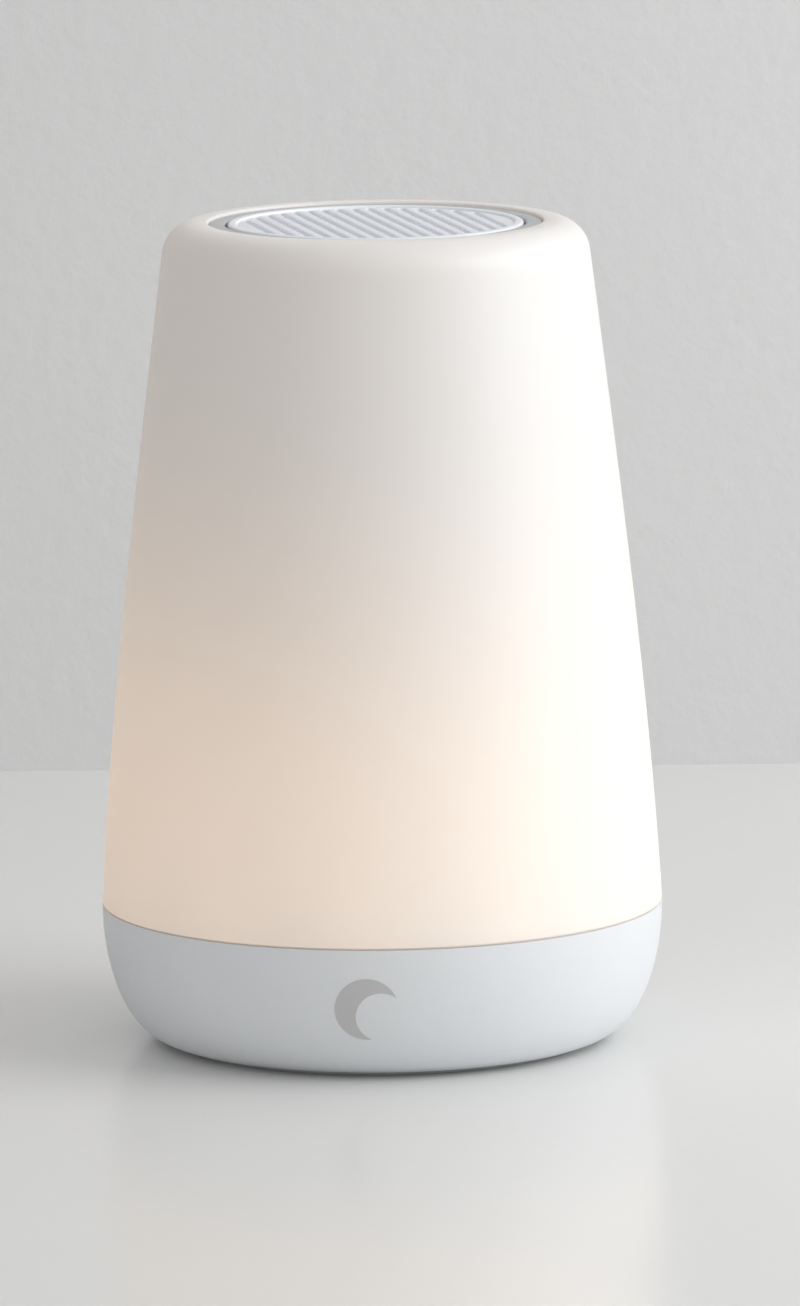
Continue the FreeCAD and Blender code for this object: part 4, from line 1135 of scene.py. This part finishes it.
@dataclass
class Grille:
    """Slotted disc in a raised rim, with a spigot below.

    Attributes:
        rim_width: Width of the raised rim.
        rim_step: How far it stands above the slotted field.
        thickness: Thickness of the field.
        spigot_radius: Outer radius of the spigot.
        spigot_wall: Its wall.
        spigot_depth: How far it reaches below the rim's seat.
        slot_pitch: Slot to slot.
        slot_width: Width of a slot.
        slot_angle: Turn of the slots from front to back, in degrees.
        slot_margin: Slot ends to the spigot's inside.
        slot_segments: Faces round each quarter of a slot's end.
        ease: Round on the slots' edges.
        ease_steps: Steps in that round.
        rim_ease: Round on the rim's lower edge and inside the spigot's foot.
        spigot_ease: Round on the spigot's outer edge.
        rim_segments: Faces in each of the rim's rounds.
        lap: How far the field reaches under the rim.
        sink: How far the ledge that carries the field lies below its face.
    """

    rim_width: float = 1.7 * MM
    rim_step: float = 0.4 * MM
    thickness: float = 1.2 * MM
    spigot_radius: float = 27.05 * MM
    spigot_wall: float = 0.8 * MM
    spigot_depth: float = 1.2 * MM
    slot_pitch: float = 3.0 * MM
    slot_width: float = 1.3 * MM
    slot_angle: float = 16.4
    slot_margin: float = 0.2 * MM
    slot_segments: int = 6
    ease: float = 0.14 * MM
    ease_steps: int = 2
    rim_ease: float = 0.1 * MM
    spigot_ease: float = 0.2 * MM
    rim_segments: int = 5
    lap: float = 0.1 * MM
    sink: float = 0.05 * MM

    def rim(self) -> bmesh.types.BMesh:
        """Builds the raised rim with its spigot.

        Returns:
            The rim.
        """
        low, high = box("grille")
        outer = outer_radius("grille")
        inner = outer - self.rim_width
        seat = low.z + self.spigot_depth
        throat = self.spigot_radius - self.spigot_wall
        ledge = high.z - self.rim_step - self.sink
        return lathe(rounded([
            (throat, low.z, self.rim_ease), (self.spigot_radius, low.z, self.spigot_ease),
            (self.spigot_radius, seat, 0.0), (outer, seat, self.rim_ease), (outer, high.z, self.rim_step),
            (inner, high.z, self.rim_step * 0.9), (inner, ledge, 0.0), (throat, ledge, 0.0),
        ], self.rim_segments))

    def slot_outline(self, offset: float, reach: float) -> Outline:
        """Draws one round-ended slot.

        Args:
            offset: Its distance from the grille's middle.
            reach: Radius that the slots' ends stay within.

        Returns:
            Its outline.
        """
        half = math.sqrt(reach * reach - offset * offset)
        side = self.slot_width / 2
        turn = side * FULL_ROUND
        return rounded([(offset - side, -half, turn), (offset + side, -half, turn),
                        (offset + side, half, turn), (offset - side, half, turn)], self.slot_segments)

    def field(self) -> bmesh.types.BMesh:
        """Builds the slotted field from a flat outline with holes.

        Returns:
            The field.
        """
        high = box("grille")[1].z - self.rim_step
        edge = outer_radius("grille") - self.rim_width + self.lap
        reach = self.spigot_radius - self.spigot_wall - self.slot_margin
        pairs = round((reach - self.slot_width) / self.slot_pitch)
        turns = [2 * math.pi * step / LATHE_STEPS for step in range(LATHE_STEPS)]
        outlines = [[(edge * math.cos(turn), edge * math.sin(turn)) for turn in turns]]
        outlines += [self.slot_outline((n + 0.5) * self.slot_pitch, reach)
                     for n in range(-pairs, pairs)]
        plate = bpy.data.curves.new("grille_field", "CURVE")
        plate.dimensions = "2D"
        plate.fill_mode = "BOTH"
        plate.bevel_depth = self.ease
        plate.bevel_resolution = self.ease_steps
        plate.offset = -self.ease
        plate.extrude = self.thickness / 2 - self.ease
        for outline in outlines:
            spline = plate.splines.new("POLY")
            spline.points.add(len(outline) - 1)
            spline.use_cyclic_u = True
            for point, (x, y) in zip(spline.points, outline):
                point.co = (x, y, 0.0, 1.0)
        holder = bpy.data.objects.new("grille_field", plate)
        mesh = bmesh.new()
        mesh.from_mesh(bpy.data.meshes.new_from_object(holder))
        bpy.data.objects.remove(holder)
        bmesh.ops.remove_doubles(mesh, verts=mesh.verts, dist=WELD)
        bmesh.ops.recalc_face_normals(mesh, faces=mesh.faces)
        turn = Matrix.Rotation(math.radians(self.slot_angle), 4, "Z")
        lift = Matrix.Translation((0, 0, high - self.thickness / 2))
        bmesh.ops.transform(mesh, matrix=lift @ turn, verts=mesh.verts)
        return mesh

    def build(self) -> bpy.types.Object:
        """Builds the grille as one moulding.

        Returns:
            The grille.
        """
        mesh = self.rim()
        join(mesh, self.field())
        return add_piece(mesh, "grille_moulding", "housing", GRILLE, "grille")


@dataclass
class Scrim:
    """Cloth stretched behind the slots.

    Attributes:
        rings: Rings of faces across it.
        steps: Faces round it.
    """

    rings: int = 12
    steps: int = 96

    def build(self) -> bpy.types.Object:
        """Builds the cloth disc.

        Returns:
            The cloth.
        """
        low, high = box("grille_scrim")
        edge = outer_radius("grille_scrim")
        radii = [edge * n / self.rings for n in range(self.rings + 1)]
        outline = [(radius, low.z) for radius in radii]
        outline += [(radius, high.z) for radius in reversed(radii)]
        piece = add_piece(lathe(outline, self.steps), "scrim_cloth", "housing", SCRIM, "grille_scrim")
        return piece


# ---- Base: foot, keys and the printed mark ----

@dataclass
class FootRing:
    """Soft ring under the base, with a shallow channel in its underside.

    Attributes:
        width: Width of the ring.
        ease: Round on its lower edges.
        channel: Depth of the channel.
        side: Share of the width that lies on each side of the channel.
        lip_ease: Round on the channel's lower edges.
        floor_ease: Round in the channel's corners.
    """

    width: float = 8.56 * MM
    ease: float = 0.4 * MM
    channel: float = 0.25 * MM
    side: float = 0.36
    lip_ease: float = 0.12 * MM
    floor_ease: float = 0.1 * MM

    def build(self) -> bpy.types.Object:
        """Builds the foot ring.

        Returns:
            The ring.
        """
        low, high = box("foot_ring")
        outer = outer_radius("foot_ring")
        inner = outer - self.width
        near = inner + self.width * self.side
        far = outer - self.width * self.side
        floor = low.z + self.channel
        mesh = lathe(rounded([
            (inner, low.z, self.ease), (near, low.z, self.lip_ease), (near, floor, self.floor_ease),
            (far, floor, self.floor_ease), (far, low.z, self.lip_ease), (outer, low.z, self.ease),
            (outer, high.z, 0.0), (inner, high.z, 0.0),
        ]))
        return add_piece(mesh, "foot_ring_pad", "housing", FOOT, "foot_ring")


@dataclass
class BaseForm:
    """Outside of the base: a quarter ellipse turned about the Z axis.

    Attributes:
        underside_radius: Flat underside inside the round.
    """

    underside_radius: float = 41.6 * MM

    def radius(self, height: float, proud: float = 0.0) -> float:
        """Measures the surface, or one that stands proud of it.

        Args:
            height: Height above the table.
            proud: How far it stands proud.

        Returns:
            Its radius at that height.
        """
        low, high = box("base_shell")
        drop = (high.z - height) / (high.z - low.z + proud)
        width = outer_radius("base_shell") - self.underside_radius + proud
        return self.underside_radius + width * math.sqrt(max(0.0, 1.0 - drop * drop))

    def depth(self, x: float, height: float, proud: float = 0.0) -> float:
        """Returns how far the surface is from the sideways axis, at a place."""
        radius = self.radius(height, proud)
        return math.sqrt(radius * radius - x * x)


class Sign(Enum):
    """Sign on a key: one bar, or two crossed."""

    LESS = 1
    MORE = 2


@dataclass
class RearKey:
    """Round rear key that follows the base's surface, with its printed sign.

    Attributes:
        name: The key's node without its last word.
        sign: The sign on it.
        form: The base's outside.
        proud: How far the cap stands above that.
        flange_margin: Flange beyond the cap.
        flange_thickness: Its thickness.
        ease: Round on the cap's edge.
        dish: Depth of the finger dish.
        bar_length: Length of a sign's bar.
        bar_width: Its width.
        bar_cuts: Cuts across a bar, so that it follows the cap.
        ink: Thickness of the print.
        crown: Height that the cap's face is turned at, before it is laid on the base's form.
        face_rings: Rings of faces across the cap.
        steps: Faces round the cap.
        segments: Faces in each round.
        flange_ease: Round on the flange's edges.
    """

    name: str
    sign: Sign
    form: BaseForm = field(default_factory=BaseForm)
    proud: float = 0.5 * MM
    flange_margin: float = 1.2 * MM
    flange_thickness: float = 1.2 * MM
    ease: float = 0.55 * MM
    dish: float = 0.22 * MM
    bar_length: float = 2.6 * MM
    bar_width: float = 0.5 * MM
    bar_cuts: int = 8
    ink: float = 0.03 * MM
    crown: float = 10 * MM
    face_rings: int = 8
    steps: int = 64
    segments: int = 6
    flange_ease: float = 0.1 * MM

    def centre(self) -> Vector:
        """Returns the middle of the key's box."""
        low, high = box(self.name + "_key")
        return (low + high) / 2

    def face(self, x: float, z: float) -> float:
        """Measures the cap's dished face.

        Args:
            x: Place to the side.
            z: Height above the table.

        Returns:
            How far back the face lies there.
        """
        middle = self.centre()
        out = math.hypot(x - middle.x, z - middle.z) / self.cap_radius()
        return self.form.depth(x, z, self.proud) - self.dish * max(0.0, 1.0 - out * out)

    def cap_radius(self) -> float:
        """Returns the cap's radius."""
        low, high = box(self.name + "_key")
        return (high.x - low.x) / 2 - self.flange_margin

    def cap(self) -> bpy.types.Object:
        """Builds the cap with its flange.

        Returns:
            The cap.
        """
        middle = self.centre()
        back = box(self.name + "_key")[0].y
        radius = self.cap_radius()
        flange = radius + self.flange_margin
        rings = [(radius * n / self.face_rings, self.crown, 0.0) for n in range(self.face_rings - 1)]
        mesh = lathe(rounded([
            *rings, (radius, self.crown, self.ease), (radius, self.flange_thickness, 0.0),
            (flange, self.flange_thickness, self.flange_ease), (flange, 0.0, self.flange_ease),
            (0.0, 0.0, 0.0),
        ], self.segments), self.steps)
        for vert in mesh.verts:
            x, z = middle.x + vert.co.x, middle.z - vert.co.y
            height = vert.co.z
            on_cap = height > self.crown / 2
            y = self.face(x, z) + height - self.crown if on_cap else back + height
            vert.co = (x, y, z)
        bmesh.ops.recalc_face_normals(mesh, faces=mesh.faces)
        return add_piece(mesh, self.name + "_cap", self.name + "_key_body", KEY, self.name + "_key")

    def bar(self, turn: float) -> bmesh.types.BMesh:
        """Builds one printed bar.

        Args:
            turn: Its turn on the key, in radians.

        Returns:
            The bar, lying on the cap's face.
        """
        middle = self.centre()
        mesh = bmesh.new()
        shape = Matrix.Diagonal((self.bar_length, 1.0, self.bar_width, 1.0))
        bmesh.ops.create_cube(mesh, size=1.0, matrix=Matrix.Rotation(turn, 4, "Y") @ shape)
        long_edges = [edge for edge in mesh.edges if edge.calc_length() > 2 * self.bar_width
                      and abs((edge.verts[0].co - edge.verts[1].co).y) < self.ink]
        bmesh.ops.subdivide_edges(mesh, edges=long_edges, cuts=self.bar_cuts, use_grid_fill=True)
        for vert in mesh.verts:
            x, z = middle.x + vert.co.x, middle.z + vert.co.z
            vert.co = (x, self.face(x, z) + (self.ink if vert.co.y > 0 else -self.ink), z)
        return mesh

    def print_sign(self) -> bpy.types.Object:
        """Prints the sign on the cap.

        Returns:
            The sign.
        """
        mesh = self.bar(0.0)
        if self.sign is Sign.MORE:
            join(mesh, self.bar(math.pi / 2))
        return add_piece(mesh, self.name + "_sign", self.name + "_key_body", INK)

    def build(self) -> None:
        """Builds the cap and its sign."""
        self.cap()
        self.print_sign()


@dataclass
class MoonPrint:
    """Crescent printed on the front of the base.

    Attributes:
        form: The base's outside.
        height: Height of its middle above the table.
        radius: Radius of the outer arc.
        tip_turn: Turn of the tips from the middle of the outer arc, in degrees.
        bulge: How far the inner arc's middle is from the outer arc's.
        lean: Turn of the whole print, in degrees.
        ink: Thickness of the print.
        steps: Faces along the crescent.
        rows: Faces across it.
        weld: Distance under which the points at the tips become one.
    """

    form: BaseForm = field(default_factory=BaseForm)
    height: float = 14.9 * MM
    radius: float = 6.1 * MM
    tip_turn: float = 128.0
    bulge: float = 4.4 * MM
    lean: float = 150.0
    ink: float = 0.02 * MM
    steps: int = 64
    rows: int = 8
    weld: float = 0.001 * MM

    def arcs(self) -> tuple[list[Vector], list[Vector]]:
        """Draws the two arcs between the crescent's tips, flat, about the origin.

        Returns:
            The points of the outer arc and of the inner one.
        """
        tip = math.radians(self.tip_turn)
        chord = self.radius * math.sin(tip)
        foot = self.radius * math.cos(tip)
        rise = self.radius - self.bulge - foot
        inner_radius = (chord * chord + rise * rise) / (2 * rise)
        start = Vector((self.radius - self.bulge - inner_radius, 0.0))
        inner_tip = math.atan2(chord, foot - (self.radius - self.bulge - inner_radius))
        shares = [2 * step / self.steps - 1 for step in range(self.steps + 1)]
        outer = [self.radius * Vector((math.cos(tip * s), math.sin(tip * s))) for s in shares]
        inner = [start + inner_radius * Vector((math.cos(inner_tip * s), math.sin(inner_tip * s)))
                 for s in shares]
        return outer, inner

    def build(self) -> bpy.types.Object:
        """Prints the crescent: a strip between the arcs, laid on the base.

        Returns:
            The print.
        """
        mesh = bmesh.new()
        turn = Matrix.Rotation(math.radians(self.lean), 2)
        chains = []
        for points in self.arcs():
            verts = [mesh.verts.new((*(turn @ point), 0.0)) for point in points]
            chains += [mesh.edges.new(pair) for pair in zip(verts, verts[1:])]
        bmesh.ops.bridge_loops(mesh, edges=chains)
        across = [edge for edge in mesh.edges if edge not in set(chains)]
        bmesh.ops.subdivide_edges(mesh, edges=across, cuts=self.rows - 1, use_grid_fill=True)
        bmesh.ops.remove_doubles(mesh, verts=mesh.verts, dist=self.weld)
        bmesh.ops.recalc_face_normals(mesh, faces=mesh.faces)
        bmesh.ops.solidify(mesh, geom=mesh.faces, thickness=self.ink)
        top = max(vert.co.z for vert in mesh.verts)
        for vert in mesh.verts:
            x, z = vert.co.x, self.height + vert.co.y
            lift = self.ink if vert.co.z > top - self.ink / 2 else -self.ink
            vert.co = (x, -self.form.depth(x, z) - lift, z)
        bmesh.ops.recalc_face_normals(mesh, faces=mesh.faces)
        return add_piece(mesh, "moon_print", "housing", INK)


# ---- Flexing rings of the loudspeaker ----

@dataclass
class FlexRing:
    """Thin ring that is held by the housing and carried by the cone.

    It is made in equal sectors, each a separate piece.

    Attributes:
        node: Node that it replaces.
        name: Start of the sectors' names.
        finish: Its finish.
        skin: Thickness.
        land: Flat land at its edges.
        sectors: How many sectors it has.
        steps: Faces along each sector.
    """

    node: str
    name: str
    finish: Finish
    skin: float = 0.4 * MM
    land: float = 1.0 * MM
    sectors: int = 24
    steps: int = 4

    def section(self) -> Outline:
        """Draws the closed section."""
        raise NotImplementedError

    def bend(self) -> tuple[float, float]:
        """Returns the radii between which it bends, inner one first."""
        raise NotImplementedError

    def sector(self, outline: Outline) -> bmesh.types.BMesh:
        """Turns the section through one sector, centred on the X axis, and closes its ends.

        Args:
            outline: Radius and height of each point of the section.

        Returns:
            The sector.
        """
        share = 2 * math.pi / self.sectors
        mesh = bmesh.new()
        start = Matrix.Rotation(-share / 2, 3, "Z")
        verts = [mesh.verts.new(start @ Vector((radius, 0.0, height))) for radius, height in outline]
        edges = [mesh.edges.new(pair) for pair in zip(verts, verts[1:] + verts[:1])]
        bmesh.ops.spin(mesh, geom=verts + edges, cent=(0, 0, 0), axis=(0, 0, 1), dvec=(0, 0, 0),
                       angle=share, steps=self.steps)
        bmesh.ops.holes_fill(mesh, edges=mesh.edges)
        bmesh.ops.recalc_face_normals(mesh, faces=mesh.faces)
        return mesh

    def build(self) -> None:
        """Builds the sectors."""
        outline = self.section()
        inner, outer = self.bend()
        for index in range(self.sectors):
            turn = Matrix.Rotation(2 * math.pi * index / self.sectors, 4, "Z")
            mesh = self.sector(outline)
            bmesh.ops.transform(mesh, matrix=turn, verts=mesh.verts)
            piece = as_object(mesh, f"{self.name}_{index + 1:02d}", self.finish)
            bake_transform(piece)
            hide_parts(self.node)
        LOG.info("%s: %d sectors", self.name, self.sectors)


@dataclass
class Surround(FlexRing):
    """Rubber half-roll with a land on each side.

    Attributes:
        roll: Inner radius of the roll.
        arc_steps: Faces over the roll.
    """

    node: str = "driver_surround"
    name: str = "surround_roll"
    finish: Finish = SURROUND
    roll: float = 1.7 * MM
    arc_steps: int = 16

    def bend(self) -> tuple[float, float]:
        """Returns the roll's inner and outer edge."""
        outer = outer_radius(self.node) - self.land
        return outer - 2 * self.roll, outer

    def section(self) -> Outline:
        """Draws the lands and the roll between them.

        Returns:
            The section's points.
        """
        low = box(self.node)[0].z
        inner, outer = self.bend()
        middle = (inner + outer) / 2
        over = math.asin(self.skin / (self.roll + self.skin))
        turns = [math.pi * step / self.arc_steps for step in range(self.arc_steps + 1)]
        under = [(middle - self.roll * math.cos(turn), low + self.roll * math.sin(turn))
                 for turn in turns]
        share = 1 - 2 * over / math.pi
        top = [(middle + (self.roll + self.skin) * math.cos(over + turn * share),
                low + (self.roll + self.skin) * math.sin(over + turn * share)) for turn in turns]
        return [(inner - self.land, low + self.skin), (inner - self.land, low), *under,
                (outer + self.land, low), (outer + self.land, low + self.skin), *top]


@dataclass
class Spider(FlexRing):
    """Waved cloth ring that centres the voice coil.

    Attributes:
        inner: Inner radius, at the coil.
        wave: Height of a wave.
        waves: Half waves.
        wave_steps: Faces over one half wave.
    """

    node: str = "driver_spider"
    name: str = "spider_cloth"
    finish: Finish = SPIDER
    land: float = 1.6 * MM
    inner: float = 7.02 * MM
    wave: float = 0.6 * MM
    waves: int = 5
    wave_steps: int = 8

    def bend(self) -> tuple[float, float]:
        """Returns the radii just outside the coil and at the start of the land."""
        return self.inner + self.skin, outer_radius(self.node) - self.land

    def section(self) -> Outline:
        """Draws the waves and the outer land.

        Returns:
            The section's points.
        """
        low = box(self.node)[0].z + self.wave
        edge = outer_radius(self.node)
        steps = self.waves * self.wave_steps
        shares = [step / steps for step in range(steps + 1)]
        under = [(self.inner + (edge - self.land - self.inner) * share,
                  low + self.wave * math.sin(math.pi * self.waves * share)) for share in shares]
        over = [(radius, height + self.skin) for radius, height in reversed(under)]
        return [*under, (edge, low), (edge, low + self.skin), *over]


# ---- Assembly ----

KEY_SIGNS = {"light_down": Sign.LESS, "light_up": Sign.MORE, "sound_down": Sign.LESS, "sound_up": Sign.MORE}


def dress_frame(names: Iterable[str]) -> None:
    """Gives each node of the frame its finish.

    Args:
        names: The nodes.
    """
    for name in names:
        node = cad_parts[name]
        node.data.materials.clear()
        node.data.materials.append(NODE_FINISHES[name].material())


def main() -> None:
    """Builds everything in order."""
    logging.basicConfig(level=logging.INFO, format="%(name)s: %(message)s")
    Studio().build()
    for part in (Shade(), LightSeal(), TouchRing(), Grille(), Scrim(), FootRing(), MoonPrint(),
                 Surround(), Spider()):
        part.build()
    for name, sign in KEY_SIGNS.items():
        RearKey(name, sign).build()
    dress_frame(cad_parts)
    LOG.info("%d nodes dressed", len(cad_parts))


if __name__ == "__main__":
    main()
